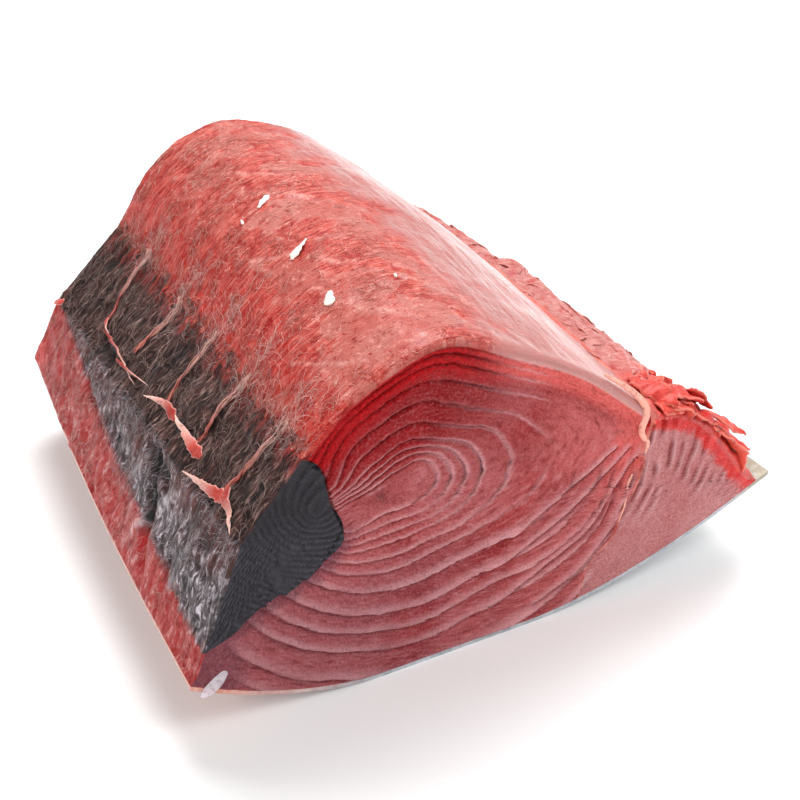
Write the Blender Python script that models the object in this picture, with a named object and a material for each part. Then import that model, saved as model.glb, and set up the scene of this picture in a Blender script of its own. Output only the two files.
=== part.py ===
"""Tuna loin: a skin-on block cut straight across one quarter of the fish.

X runs across the cut face, from the heel beside the dark muscle to the fin edge.
Y runs along the fish: the cut face that shows looks towards -Y. Z is up.
The block lies on its skin, and the origin is under the middle of its bounding box.
Metres throughout. Outlines are given as shares of the block's width and height.
"""

import math

import bmesh
import bpy
import numpy as np
from mathutils import Matrix, Vector, noise

# Driving dimensions
WIDTH = 0.200
HEIGHT = 0.1105
LENGTH = 0.182
SKIN_THICKNESS = 0.0014
SEPTUM_TOP_THICKNESS = 0.0026
SEPTUM_FOOT_THICKNESS = 0.0010
GAP = 0.0003  # between neighbouring pieces

# Relief. The levels say where the rings of the cut lie, from 0 at their eye to 1 at the rim
RING_LEVELS = (0.00, 0.06, 0.115, 0.165, 0.215, 0.29, 0.37, 0.48, 0.61, 0.72, 0.83, 1.00)
RING_DEPTH = 0.0009
RIM_RADIUS = 0.0024
LUMP_HEIGHT = 0.0011
LUMP_SIZE = 0.030
CRUMPLE_HEIGHT = 0.0009
CRUMPLE_SIZE = 0.012
CRAG_HEIGHT = 0.0034
CRAG_SIZE = 0.011
DARK_EDGE_WAVER = 0.0016

# How finely the block is divided
HEEL_STEPS, RIDGE_STEPS, ARCH_STEPS, FIN_STEPS = 6, 6, 5, 5
UNDER_STEPS = (6, 3, 5)  # up to the flat, across it and past it
STEPS_PER_SIDE = (HEEL_STEPS, RIDGE_STEPS, *[ARCH_STEPS] * 5, *[FIN_STEPS] * 2)
TOP_COUNT = sum(STEPS_PER_SIDE)
FIN_FIRST = TOP_COUNT - 2 * FIN_STEPS
ARCH_FIRST = HEEL_STEPS + RIDGE_STEPS
STRIP_STEPS = 3
STATIONS = 16
BACK_RING_LEVELS = (0.0, 0.08, 0.19, 0.35, 0.61, 1.0)
DARK_CUTTER_STATIONS = 12
SEPTUM_CUTTER_STATIONS = 4
SKIN_STATIONS = 7
WALL_STEPS = 2
PAST_END = 0.006  # how far a cutter runs past each end of the block

# Corners of the outline: (across, up) at the cut face, the same at the far end, and the swell between
HEEL = ((-0.500, 0.181), (-0.445, 0.250), (-0.012, -0.004))
RIDGE = ((-0.418, 0.577), (-0.392, 0.452), (-0.006, 0.004))
DARK_TOP = ((-0.322, 0.778), (-0.268, 0.664), (0.000, 0.012))
BROW = ((-0.240, 0.906), (-0.189, 0.860), (0.000, 0.020))
CROWN = ((-0.110, 0.992), (-0.065, 0.961), (0.000, 0.018))
SHOULDER = ((0.010, 0.901), (0.065, 0.897), (0.010, 0.035))
SLOPE = ((0.130, 0.778), (0.160, 0.781), (0.015, 0.035))
SEPTUM_TOP = ((0.250, 0.593), (0.250, 0.600), (0.010, 0.030))
FIN_BROW = ((0.350, 0.521), (0.322, 0.505), (0.010, 0.040))
FIN_TIP = ((0.478, 0.222), (0.425, 0.221), (0.000, 0.000))

# The underside is flat in the middle and curls up to both edges
FLAT_FROM = -0.200
FLAT_TO = 0.050
HEEL_CURL = 1.75
FIN_CURL = 1.7
SKIN_LIP = 0.022  # how far the skin stands past the flesh at the fin edge

# Inner boundaries, at the cut face and at the far end
DARK_WALL = (
    ((-0.375, 0.847), (-0.325, 0.730)),
    ((-0.322, 0.778), (-0.268, 0.664)),
    ((-0.290, 0.710), (-0.243, 0.608)),
    ((-0.282, 0.623), (-0.240, 0.552)),
    ((-0.264, 0.523), (-0.238, 0.491)),
    ((-0.292, 0.446), (-0.262, 0.430)),
    ((-0.388, 0.370), (-0.340, 0.394)),
    ((-0.450, 0.303), (-0.400, 0.379)),
    ((-0.540, 0.255), (-0.500, 0.389)),
)
SEPTUM_LINE = (
    ((0.262, 0.695), (0.262, 0.684)),
    ((0.254, 0.583), (0.250, 0.583)),
    ((0.233, 0.491), (0.232, 0.491)),
    ((0.240, 0.440), (0.236, 0.440)),
    ((0.218, 0.323), (0.215, 0.333)),
    ((0.196, 0.210), (0.194, 0.226)),
    ((0.152, 0.130), (0.154, 0.140)),
    ((0.128, -0.079), (0.130, -0.079)),
)

# The rings' eye is a flat ellipse that rises towards the fin
EYE = ((-0.205, 0.588), (-0.165, 0.560))
EYE_HALF_LENGTH = 0.066
EYE_HALF_HEIGHT = 0.011
EYE_TILT = math.radians(17)

# Strips of sinew and torn flesh. A place on the block is (share of its length, corner of its
# outline), where the corners run from 0 at the heel and 1 at the ridge to 9 at the fin tip.
CORDS = (
    ((0.770, 1.30), (0.780, 1.65), (0.790, 1.90)),
    ((0.590, 1.30), (0.580, 1.62), (0.585, 1.90)),
    ((0.395, 1.25), (0.400, 1.60), (0.400, 1.90)),
    ((0.245, 1.25), (0.250, 1.62), (0.245, 1.90)),
    ((0.105, 1.20), (0.090, 1.60), (0.080, 1.90)),
)
CORD_WIDTH = 0.0030
CORD_THICKNESS = 0.0022

# Ends and middles of the pink tags along the ridge: (share, corner, height over the surface)
RIDGE_TAGS = (
    ((0.770, 1.32, 0.0000), (0.645, 1.23, 0.0006), (0.500, 1.14, 0.0000)),
    ((0.440, 1.20, -0.0016), (0.390, 1.26, 0.0022), (0.320, 1.22, 0.0012)),
    ((0.190, 1.26, -0.0016), (0.265, 1.29, 0.0022), (0.335, 1.34, 0.0042)),
    ((0.080, 1.20, -0.0016), (0.140, 1.14, 0.0024), (0.205, 1.07, 0.0030)),
    ((0.120, 1.30, -0.0016), (0.060, 1.18, 0.0016), (0.025, 1.02, 0.0006)),
    ((0.960, 1.05, -0.0016), (0.980, 1.00, 0.0014), (0.992, 0.94, 0.0006)),
)
TAG_WIDTH = 0.0044
TAG_THICKNESS = 0.0018

FIN_SCRAPS = (
    ((0.110, 7.25, -0.0016), (0.070, 7.30, 0.0016), (0.025, 7.40, 0.0026)),
    ((0.060, 7.45, -0.0016), (0.030, 7.70, 0.0024), (0.010, 7.95, 0.0030)),
    ((0.110, 7.80, -0.0016), (0.060, 7.95, 0.0026), (0.015, 8.10, 0.0020)),
    ((0.050, 8.12, -0.0016), (0.020, 8.30, 0.0018), (0.002, 8.50, 0.0056)),
    ((0.080, 8.45, -0.0016), (0.045, 8.60, 0.0020), (0.020, 8.75, 0.0022)),
    ((0.220, 7.70, -0.0016), (0.190, 8.00, 0.0008), (0.165, 8.25, 0.0004)),
    ((0.360, 7.75, -0.0016), (0.330, 8.00, 0.0004), (0.290, 8.15, 0.0002)),
)
SCRAP_WIDTH = 0.0075
SCRAP_THICKNESS = 0.0022

# White flecks of fat on the crown
FLECKS = (
    ((0.562, 3.64, 0.0003), (0.585, 3.62, 0.0007), (0.610, 3.58, 0.0003)),
    ((0.560, 3.28, 0.0003), (0.570, 3.28, 0.0005), (0.580, 3.28, 0.0003)),
    ((0.355, 3.56, 0.0003), (0.390, 3.52, 0.0009), (0.420, 3.46, 0.0003)),
    ((0.210, 3.42, 0.0003), (0.225, 3.42, 0.0009), (0.243, 3.42, 0.0003)),
    ((0.205, 4.15, 0.0000), (0.210, 4.15, 0.0004), (0.215, 4.15, 0.0000)),
)
FLECK_WIDTHS = (0.0026, 0.0011, 0.0030, 0.0042, 0.0010)
FLECK_THICKNESS = 0.0014

# A loose flap of thin skin hangs at the heel end of the cut: (across, up, out of the cut)
FLAP_PATH = ((-0.4250, 0.232, -0.0016), (-0.4520, 0.202, 0.0022), (-0.4800, 0.170, 0.0028))
FLAP_WIDTH = 0.0052
FLAP_THICKNESS = 0.0009

# Colours from the photograph: linear red, green, blue, and roughness
MUSCLE_RED = ((0.42, 0.045, 0.040), 0.38)
DARK_MUSCLE = ((0.030, 0.022, 0.026), 0.45)
FIN_RED = ((0.50, 0.075, 0.060), 0.38)
CREAM = ((0.80, 0.52, 0.40), 0.42)
SKIN_SILVER = ((0.46, 0.46, 0.44), 0.30)


def lerp(a, b, share):
    return a + (b - a) * share


def at_station(corner, share):
    """A corner's place in metres, share 0 at the cut face and 1 at the far end."""
    front, back = corner[0], corner[1]
    swell = corner[2] if len(corner) > 2 else (0.0, 0.0)
    bulge = math.sin(math.pi * min(max(share, 0.0), 1.0))
    across = lerp(front[0], back[0], share) + swell[0] * bulge
    up = lerp(front[1], back[1], share) + swell[1] * bulge
    return np.array((across * WIDTH, up * HEIGHT))


def spline_through(points, per_span):
    """Points on a Catmull-Rom curve through the given ones, the last one left out."""
    held = [2 * points[0] - points[1], *points, 2 * points[-1] - points[-2]]
    curve = []
    for before, start, end, after in zip(held, held[1:], held[2:], held[3:]):
        for step in range(per_span):
            t = step / per_span
            curve.append(
                0.5
                * (
                    2 * start
                    + (end - before) * t
                    + (2 * before - 5 * start + 4 * end - after) * t * t
                    + (3 * start - before - 3 * end + after) * t**3
                )
            )
    return curve


def straight(start, end, count):
    return [lerp(start, end, step / count) for step in range(count)]


def underside(across, heel, tip, lift):
    """Height of the underside at a place across, and how much a sloping wall thickens."""
    flat_from = FLAT_FROM * WIDTH
    flat_to = FLAT_TO * WIDTH
    height = 0.0
    slope = 0.0
    if across < flat_from:
        reach = flat_from - heel[0]
        share = (flat_from - across) / reach
        height = heel[1] * share**HEEL_CURL
        slope = heel[1] * HEEL_CURL * share ** (HEEL_CURL - 1) / reach
    elif across > flat_to:
        reach = tip[0] - flat_to
        share = (across - flat_to) / reach
        height = tip[1] * share**FIN_CURL
        slope = tip[1] * FIN_CURL * share ** (FIN_CURL - 1) / reach
    return height + lift * math.hypot(1.0, slope)


def under_places(tip, heel):
    """Places across the underside, from the fin tip up to but not including the heel."""
    flat_to, flat_from = FLAT_TO * WIDTH, FLAT_FROM * WIDTH
    before, flat, after = UNDER_STEPS
    return [
        *straight(tip, flat_to, before),
        *straight(flat_to, flat_from, flat),
        *straight(flat_from, heel, after),
    ]


def block_outline(share):
    """The flesh's outline at a station, from the heel over the top and back underneath."""
    heel, ridge, dark_top = (at_station(c, share) for c in (HEEL, RIDGE, DARK_TOP))
    tip = at_station(FIN_TIP, share)
    clearance = SKIN_THICKNESS + GAP
    heel_foot = np.array((heel[0], underside(heel[0], heel, tip, clearance)))
    tip_foot = np.array((tip[0], underside(tip[0], heel, tip, clearance)))
    arch = [at_station(c, share) for c in (DARK_TOP, BROW, CROWN, SHOULDER, SLOPE, SEPTUM_TOP)]
    fin = [arch[-1], at_station(FIN_BROW, share), tip_foot]
    points = straight(heel_foot, ridge, HEEL_STEPS)
    points += straight(ridge, dark_top, RIDGE_STEPS)
    points += spline_through(arch, ARCH_STEPS)
    points += spline_through(fin, FIN_STEPS)
    for across in under_places(tip[0], heel[0]):
        points.append(np.array((across, underside(across, heel, tip, clearance))))
    return np.array(points)


def on_surface(share, corner, height):
    """A point over the block's surface, and the way out of it there."""
    side = min(int(corner), len(STEPS_PER_SIDE) - 1)
    index = sum(STEPS_PER_SIDE[:side]) + (corner - side) * STEPS_PER_SIDE[side]
    outline = block_outline(share)
    normals = outward(outline)
    first = int(index)
    point = lerp(outline[first], outline[first + 1], index - first)
    normal = lerp(normals[first], normals[first + 1], index - first)
    point = point + normal * height
    return Vector((point[0], (share - 0.5) * LENGTH, point[1])), Vector((normal[0], 0, normal[1]))


def outward(outline):
    """Unit normals of a closed outline that runs clockwise, as seen from -Y."""
    along = np.roll(outline, -1, axis=0) - np.roll(outline, 1, axis=0)
    normal = np.stack((-along[:, 1], along[:, 0]), axis=1)
    return normal / np.linalg.norm(normal, axis=1)[:, None]


def softness(index):
    """How far the rim is rounded: all of RIM_RADIUS over the arch, little elsewhere."""
    if index >= TOP_COUNT:
        return 0.12
    return 1.0 if index >= ARCH_FIRST else 0.45


def lumps(x, y, z, size, seed):
    place = Vector((x / size + seed, y / size, z / size))
    return noise.noise(place)


def station_places():
    """Places along the block, closer together at the two rounded rims."""
    rim = (0.0, 0.3 * RIM_RADIUS, RIM_RADIUS)
    inner = np.linspace(0.0, LENGTH, STATIONS - 4)[1:-1]
    return [*rim, *inner, *(LENGTH - d for d in reversed(rim))]


def rim_inset(from_end, radius):
    if from_end >= radius:
        return 0.0
    return radius - math.sqrt(radius**2 - (radius - from_end) ** 2)


def station_loop(place):
    """One ring of corners round the block, with its lumps and the torn fin edge."""
    share = place / LENGTH
    outline = block_outline(share)
    normals = outward(outline)
    y = place - LENGTH / 2
    loop = []
    for index, (point, normal) in enumerate(zip(outline, normals)):
        from_end = min(place, LENGTH - place)
        moved = -rim_inset(from_end, RIM_RADIUS * softness(index))
        if 0 < index < TOP_COUNT:
            moved += LUMP_HEIGHT * lumps(point[0], y, point[1], LUMP_SIZE, 3.0)
        if 0 < index < ARCH_FIRST:
            moved += CRUMPLE_HEIGHT * lumps(point[0], y, point[1], CRUMPLE_SIZE, 23.0)
        if FIN_FIRST + 2 < index < TOP_COUNT - 1:
            crag = abs(lumps(point[0], y, point[1], CRAG_SIZE, 11.0))
            moved += CRAG_HEIGHT * (crag - 0.35)
        x, z = point + normal * moved
        loop.append((x, y, z))
    return loop


def eye_points(outline, share):
    """Where each spoke of the cut face ends: on a flat ellipse, at the spoke's own bearing."""
    centre = at_station(EYE, share)
    spoke = outline - centre
    bearing = spoke / np.linalg.norm(spoke, axis=1)[:, None]
    along = bearing @ (math.cos(EYE_TILT), math.sin(EYE_TILT))
    across = bearing @ (-math.sin(EYE_TILT), math.cos(EYE_TILT))
    reach = WIDTH / np.hypot(along / EYE_HALF_LENGTH, across / EYE_HALF_HEIGHT)
    return centre + bearing * reach[:, None]


def ring_depth(level, x, z):
    """Depth in metres of the valley between two rings, shallow near the eye, heel and fin."""
    towards_fin = min(max((x / WIDTH - 0.02) / 0.16, 0.0), 1.0)
    towards_heel = min(max((-0.26 - x / WIDTH) / 0.06, 0.0), 1.0)
    uneven = 0.85 + 0.4 * lumps(x, 0.0, z, 0.02, 7.0)
    near_eye = min(level / 0.12, 1.0)
    return RING_DEPTH * uneven * near_eye * (1 - 0.75 * towards_fin) * (1 - 0.7 * towards_heel)


def cap_levels(rings):
    """From the rim to the eye: each ring's (level, whether it lies in a valley)."""
    levels = []
    for outer, inner in zip(rings[::-1], rings[-2::-1]):
        levels.append(((outer + inner) / 2, True))
        levels.append((inner, False))
    return levels


def block_mesh():
    """The whole flesh as one closed loft, with the rings of the cut in both end faces."""
    bm = bmesh.new()
    loops = [[bm.verts.new(p) for p in station_loop(d)] for d in station_places()]
    around = len(loops[0])
    for near, far in zip(loops, loops[1:]):
        for i in range(around):
            j = (i + 1) % around
            bm.faces.new((near[i], far[i], far[j], near[j]))
    add_cap(bm, loops[0], 0.0, cap_levels(RING_LEVELS), 1)
    add_cap(bm, loops[-1], 1.0, cap_levels(BACK_RING_LEVELS), -1)
    bmesh.ops.recalc_face_normals(bm, faces=bm.faces[:])
    bmesh.ops.triangulate(bm, faces=bm.faces[:])
    return bm


def add_cap(bm, rim, share, levels, inward):
    """Closes one end with rings of corners, which run from the rim in to the eye."""
    around = len(rim)
    edge = np.array([(v.co.x, v.co.z) for v in rim])
    plane = rim[0].co.y
    eye = eye_points(edge, share)
    outer = rim
    for level, valley in levels:
        ring = []
        for start, end in zip(eye, edge):
            x, z = lerp(start, end, level)
            depth = ring_depth(level, x, z) if valley else 0.0
            ring.append(bm.verts.new((x, plane + inward * depth, z)))
        for i in range(around):
            j = (i + 1) % around
            bm.faces.new((outer[i], outer[j], ring[j], ring[i]))
        outer = ring
    centre = at_station(EYE, share)
    middle = bm.verts.new((centre[0], plane, centre[1]))
    for i in range(around):
        bm.faces.new((outer[i], outer[(i + 1) % around], middle))


def offset_line(line, distances):
    """An open line moved sideways, to its right as it runs, by a distance at each point."""
    along = np.gradient(line, axis=0)
    side = np.stack((along[:, 1], -along[:, 0]), axis=1)
    side /= np.linalg.norm(side, axis=1)[:, None]
    return line + side * np.asarray(distances)[:, None]


def wall_line(wall, share, waver=0.0):
    corners = [at_station(corner, share) for corner in wall]
    line = np.array([*spline_through(corners, WALL_STEPS), corners[-1]])
    line[:, 0] += waver * math.sin(35 * share) + 0.6 * waver * math.sin(17 * share + 1)
    return line


def dark_zone(share, grow):
    """Section of the dark muscle's side of its wall, closed well outside the block."""
    line = wall_line(DARK_WALL, share, DARK_EDGE_WAVER)
    line = offset_line(line, np.full(len(line), -grow))
    outside = [(-0.62 * WIDTH, line[-1][1]), (-0.62 * WIDTH, line[0][1])]
    return np.array([*line, *outside])


def septum_half(line):
    return np.linspace(SEPTUM_TOP_THICKNESS, SEPTUM_FOOT_THICKNESS, len(line)) / 2


def septum_zone(share, grow):
    line = wall_line(SEPTUM_LINE, share)
    half = septum_half(line)
    return np.array([*offset_line(line, -half), *offset_line(line, half)[::-1]])


def past_septum_zone(share, grow):
    """The septum, its two gaps and the fin muscle, which the red muscle leaves free."""
    line = wall_line(SEPTUM_LINE, share)
    moved = offset_line(line, septum_half(line) + grow)
    outside = [(0.62 * WIDTH, moved[-1][1]), (0.62 * WIDTH, moved[0][1])]
    return np.array([*moved, *outside])


def fin_zone(share, grow):
    """Section of everything past the septum, on the fin's side of it."""
    line = wall_line(SEPTUM_LINE, share)
    moved = offset_line(line, -septum_half(line) - grow)
    outside = [(0.62 * WIDTH, moved[-1][1]), (0.62 * WIDTH, moved[0][1])]
    return np.array([*moved, *outside])


def loft_of(name, zone, grow, stations, collection):
    """A cutter: the zone's section carried past both ends of the block."""
    bm = bmesh.new()
    loops = []
    for place in np.linspace(-PAST_END, LENGTH + PAST_END, stations):
        section = zone(place / LENGTH, grow)
        loops.append([bm.verts.new((x, place - LENGTH / 2, z)) for x, z in section])
    around = len(loops[0])
    for near, far in zip(loops, loops[1:]):
        for i in range(around):
            j = (i + 1) % around
            bm.faces.new((near[i], far[i], far[j], near[j]))
    bm.faces.new(loops[0])
    bm.faces.new(loops[-1][::-1])
    bmesh.ops.triangulate(bm, faces=bm.faces[:])
    bmesh.ops.recalc_face_normals(bm, faces=bm.faces[:])
    cutter = object_from(name, bm, collection)
    cutter.hide_render = True
    cutter.display_type = "WIRE"
    return cutter


def object_from(name, bm, collection):
    mesh = bpy.data.meshes.new(name)
    bm.to_mesh(mesh)
    bm.free()
    made = bpy.data.objects.new(name, mesh)
    collection.objects.link(made)
    return made


def boolean(target, operation, cutter):
    modifier = target.modifiers.new(f"{operation.lower()} {cutter.name}", "BOOLEAN")
    modifier.operation = operation
    modifier.object = cutter
    modifier.solver = "EXACT"


def settle(target):
    """Applies an object's modifiers to its mesh."""
    graph = bpy.context.evaluated_depsgraph_get()
    target.data = bpy.data.meshes.new_from_object(target.evaluated_get(graph))
    target.modifiers.clear()


def fuse(target, scraps):
    """Joins loose scraps to a piece with one Boolean union, and removes their objects."""
    group = bpy.data.collections.new(f"{target.name} scraps")
    for scrap in scraps:
        group.objects.link(scrap)
    modifier = target.modifiers.new("fuse scraps", "BOOLEAN")
    modifier.operation = "UNION"
    modifier.operand_type = "COLLECTION"
    modifier.collection = group
    modifier.solver = "EXACT"
    settle(target)
    for scrap in scraps:
        bpy.data.objects.remove(scrap)
    bpy.data.collections.remove(group)


def skin_mesh():
    """A thin curved sheet under the flesh, with a lip past the fin edge."""
    bm = bmesh.new()
    loops = []
    for place in np.linspace(0.0, LENGTH, SKIN_STATIONS):
        share = place / LENGTH
        heel = at_station(HEEL, share)
        tip = at_station(FIN_TIP, share)
        lip = tip[0] + SKIN_LIP * WIDTH
        across = [lip, *under_places(tip[0], heel[0]), heel[0]]
        outer = [(x, underside(x, heel, tip, 0.0)) for x in across]
        inner = [(x, underside(x, heel, tip, SKIN_THICKNESS)) for x in across[::-1]]
        y = place - LENGTH / 2
        loops.append([bm.verts.new((x, y, z)) for x, z in outer + inner])
    around = len(loops[0])
    for near, far in zip(loops, loops[1:]):
        for i in range(around):
            j = (i + 1) % around
            bm.faces.new((near[i], near[j], far[j], far[i]))
    for loop in (loops[0], loops[-1]):
        for i in range(around // 2 - 1):
            bm.faces.new((loop[i], loop[i + 1], loop[-2 - i], loop[-1 - i]))
    bmesh.ops.recalc_face_normals(bm, faces=bm.faces[:])
    bmesh.ops.triangulate(bm, faces=bm.faces[:])
    return bm


def strip(name, path, width, thickness):
    """A lens-shaped strip along a path of (point, way out), pointed at its far end."""
    points = spline_through([np.array(point) for point, _ in path], STRIP_STEPS)
    points = [Vector(point) for point in [*points, path[-1][0]]]
    outs = spline_through([np.array(out) for _, out in path], STRIP_STEPS)
    outs = [Vector(out) for out in [*outs, path[-1][1]]]
    bm = bmesh.new()
    loops = []
    for index, (point, out) in enumerate(zip(points, outs)):
        ahead = points[min(index + 1, len(points) - 1)] - points[max(index - 1, 0)]
        side = ahead.cross(out).normalized()
        t = index / (len(points) - 1)
        taper = math.sin(math.pi * (0.12 + 0.85 * t)) ** 0.6
        half = 0.5 * width * taper
        thick = 0.5 * thickness * (0.4 + 0.6 * taper)
        out = side.cross(ahead).normalized()
        sway = out * 0.16 * width * math.sin(7.0 * t) * t
        loops.append(
            [
                bm.verts.new(point + side * half + sway),
                bm.verts.new(point + out * thick),
                bm.verts.new(point - side * half - sway),
                bm.verts.new(point - out * thick),
            ]
        )
    for near, far in zip(loops, loops[1:]):
        for i in range(4):
            j = (i + 1) % 4
            bm.faces.new((near[i], near[j], far[j], far[i]))
    bm.faces.new(loops[0])
    bm.faces.new(loops[-1])
    bmesh.ops.recalc_face_normals(bm, faces=bm.faces[:])
    bmesh.ops.triangulate(bm, faces=bm.faces[:])
    return object_from(name, bm, bpy.context.scene.collection)


def strips(name, places, widths, thickness):
    """One strip for each row of places on the surface."""
    made = []
    for row, width in zip(places, widths):
        path = [on_surface(*place) for place in row]
        made.append(strip(name, path, width, thickness))
    return made


def hanging_flap():
    """The loose flap of thin skin at the heel end of the cut."""
    out = Vector((0.0, -1.0, 0.0))
    path = []
    for across, up, forward in FLAP_PATH:
        path.append((Vector((across * WIDTH, -LENGTH / 2 - forward, up * HEIGHT)), out))
    return strip("flap", path, FLAP_WIDTH, FLAP_THICKNESS)


def finish(target, look):
    (red, green, blue), roughness = look
    material = bpy.data.materials.new(target.name)
    material.use_nodes = True
    shader = material.node_tree.nodes["Principled BSDF"]
    shader.inputs["Base Color"].default_value = (red, green, blue, 1.0)
    shader.inputs["Roughness"].default_value = roughness
    shader.inputs["Metallic"].default_value = 0.0
    target.data.materials.clear()
    target.data.materials.append(material)
    target.data.shade_smooth()
    target.data.set_sharp_from_angle(angle=math.radians(40))


def stand_on_origin(pieces):
    """Moves the pieces so that the origin is under the middle of their bounding box."""
    corners = np.array([vertex.co for piece in pieces for vertex in piece.data.vertices])
    low, high = corners.min(axis=0), corners.max(axis=0)
    middle = Vector(((low[0] + high[0]) / 2, (low[1] + high[1]) / 2, low[2]))
    for piece in pieces:
        piece.data.transform(Matrix.Translation(-middle))


def clear_scene():
    for existing in list(bpy.data.objects):
        bpy.data.objects.remove(existing)


def main():
    clear_scene()
    scene = bpy.context.scene.collection
    parts = bpy.data.collections.new("Tuna loin")
    cutters = bpy.data.collections.new("Cutters")
    scene.children.link(parts)
    scene.children.link(cutters)

    dark = loft_of("dark zone", dark_zone, 0.0, DARK_CUTTER_STATIONS, cutters)
    dark_grown = loft_of("dark zone and gap", dark_zone, GAP, DARK_CUTTER_STATIONS, cutters)
    septum = loft_of("septum zone", septum_zone, 0.0, SEPTUM_CUTTER_STATIONS, cutters)
    fin = loft_of("fin zone", fin_zone, GAP, SEPTUM_CUTTER_STATIONS, cutters)
    past_septum = loft_of("past septum zone", past_septum_zone, GAP, SEPTUM_CUTTER_STATIONS, cutters)

    red_loin = object_from("red_loin", block_mesh(), parts)
    boolean(red_loin, "DIFFERENCE", dark_grown)
    boolean(red_loin, "DIFFERENCE", past_septum)
    bloodline = object_from("bloodline", block_mesh(), parts)
    boolean(bloodline, "INTERSECT", dark)
    cream_septum = object_from("cream_septum", block_mesh(), parts)
    boolean(cream_septum, "INTERSECT", septum)
    fin_muscle = object_from("fin_muscle", block_mesh(), parts)
    boolean(fin_muscle, "INTERSECT", fin)
    skin = object_from("skin", skin_mesh(), parts)
    for piece in (red_loin, bloodline, cream_septum, fin_muscle):
        settle(piece)
    cords = [[(share, corner, 0.0) for share, corner in row] for row in CORDS]
    sinews = strips("cord", cords, [CORD_WIDTH] * len(cords), CORD_THICKNESS)
    sinews += strips("tag", RIDGE_TAGS, [TAG_WIDTH] * len(RIDGE_TAGS), TAG_THICKNESS)
    fuse(bloodline, sinews)
    fuse(fin_muscle, strips("scrap", FIN_SCRAPS, [SCRAP_WIDTH] * len(FIN_SCRAPS), SCRAP_THICKNESS))
    flecks = strips("fleck", FLECKS, FLECK_WIDTHS, FLECK_THICKNESS)
    fuse(red_loin, [*flecks, hanging_flap()])
    stand_on_origin((red_loin, bloodline, cream_septum, fin_muscle, skin))

    finish(red_loin, MUSCLE_RED)
    finish(bloodline, DARK_MUSCLE)
    finish(cream_septum, CREAM)
    finish(fin_muscle, FIN_RED)
    finish(skin, SKIN_SILVER)


main()
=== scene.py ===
"""Looks of a raw tuna loin: a skin-on block with ringed red flesh at both cuts.

X runs across the cut, from the heel beside the dark muscle to the fin edge. Y runs along
the fish, and the cut that shows looks towards -Y. Z is up. Metres throughout.
"""

import math

import bmesh
import bpy
import numpy as np
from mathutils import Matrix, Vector, geometry, kdtree


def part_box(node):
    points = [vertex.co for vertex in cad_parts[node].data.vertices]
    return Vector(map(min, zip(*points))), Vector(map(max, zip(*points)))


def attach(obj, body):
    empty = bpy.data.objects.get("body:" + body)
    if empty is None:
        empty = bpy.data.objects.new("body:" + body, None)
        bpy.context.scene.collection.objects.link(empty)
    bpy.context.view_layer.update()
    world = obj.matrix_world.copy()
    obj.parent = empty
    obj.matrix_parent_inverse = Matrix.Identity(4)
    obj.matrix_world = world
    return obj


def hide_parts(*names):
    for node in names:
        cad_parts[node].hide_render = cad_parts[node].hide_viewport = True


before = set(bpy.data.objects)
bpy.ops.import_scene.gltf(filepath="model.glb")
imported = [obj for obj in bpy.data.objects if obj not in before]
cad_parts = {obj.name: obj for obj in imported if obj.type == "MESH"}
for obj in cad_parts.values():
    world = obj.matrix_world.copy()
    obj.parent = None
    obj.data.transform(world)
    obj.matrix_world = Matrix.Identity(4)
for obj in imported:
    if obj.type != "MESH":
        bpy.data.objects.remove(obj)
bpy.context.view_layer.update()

# Driving sizes, from the frame
SKIN_LOW, SKIN_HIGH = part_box("skin")
WIDTH = SKIN_HIGH.x - SKIN_LOW.x
LENGTH = SKIN_HIGH.y - SKIN_LOW.y
FRONT_Y = SKIN_LOW.y
HEIGHT = 0.5525 * WIDTH
MM = 0.001
SKIN_THICKNESS = 1.4 * MM
# About how far one corner is from the next over the top
CORNER_SPAN = 30 * MM
RIM_RADIUS = 2.4 * MM

# Corners of the outline: (across, up) at the cut, the same at the far end, and the swell between
HEEL = ((-0.500, 0.181), (-0.445, 0.250), (-0.012, -0.004))
RIDGE = ((-0.418, 0.577), (-0.392, 0.452), (-0.006, 0.004))
DARK_TOP = ((-0.322, 0.778), (-0.268, 0.664), (0.000, 0.012))
BROW = ((-0.240, 0.906), (-0.189, 0.860), (0.000, 0.020))
CROWN = ((-0.110, 0.992), (-0.065, 0.961), (0.000, 0.018))
SHOULDER = ((0.010, 0.901), (0.065, 0.897), (0.010, 0.035))
SLOPE = ((0.130, 0.778), (0.160, 0.781), (0.015, 0.035))
SEPTUM_TOP = ((0.250, 0.593), (0.250, 0.600), (0.010, 0.030))
FIN_BROW = ((0.350, 0.521), (0.322, 0.505), (0.010, 0.040))
FIN_TIP = ((0.478, 0.222), (0.425, 0.221), (0.000, 0.000))
FLAT_FROM, FLAT_TO = -0.200, 0.050
HEEL_CURL, FIN_CURL = 1.75, 1.7
SKIN_LIP = 0.022

DARK_WALL = (
    ((-0.375, 0.847), (-0.325, 0.730)),
    ((-0.322, 0.778), (-0.268, 0.664)),
    ((-0.290, 0.710), (-0.243, 0.608)),
    ((-0.282, 0.623), (-0.240, 0.552)),
    ((-0.264, 0.523), (-0.238, 0.491)),
    ((-0.292, 0.446), (-0.262, 0.430)),
    ((-0.388, 0.370), (-0.340, 0.394)),
    ((-0.450, 0.303), (-0.400, 0.379)),
    ((-0.540, 0.255), (-0.500, 0.389)),
)
SEPTUM_LINE = (
    ((0.262, 0.695), (0.262, 0.684)),
    ((0.254, 0.583), (0.250, 0.583)),
    ((0.233, 0.491), (0.232, 0.491)),
    ((0.240, 0.440), (0.236, 0.440)),
    ((0.218, 0.323), (0.215, 0.333)),
    ((0.196, 0.210), (0.194, 0.226)),
    ((0.152, 0.130), (0.154, 0.140)),
    ((0.128, -0.079), (0.130, -0.079)),
)
SEPTUM_TOP_HALF, SEPTUM_FOOT_HALF = 1.575 * MM, 0.525 * MM

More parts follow.
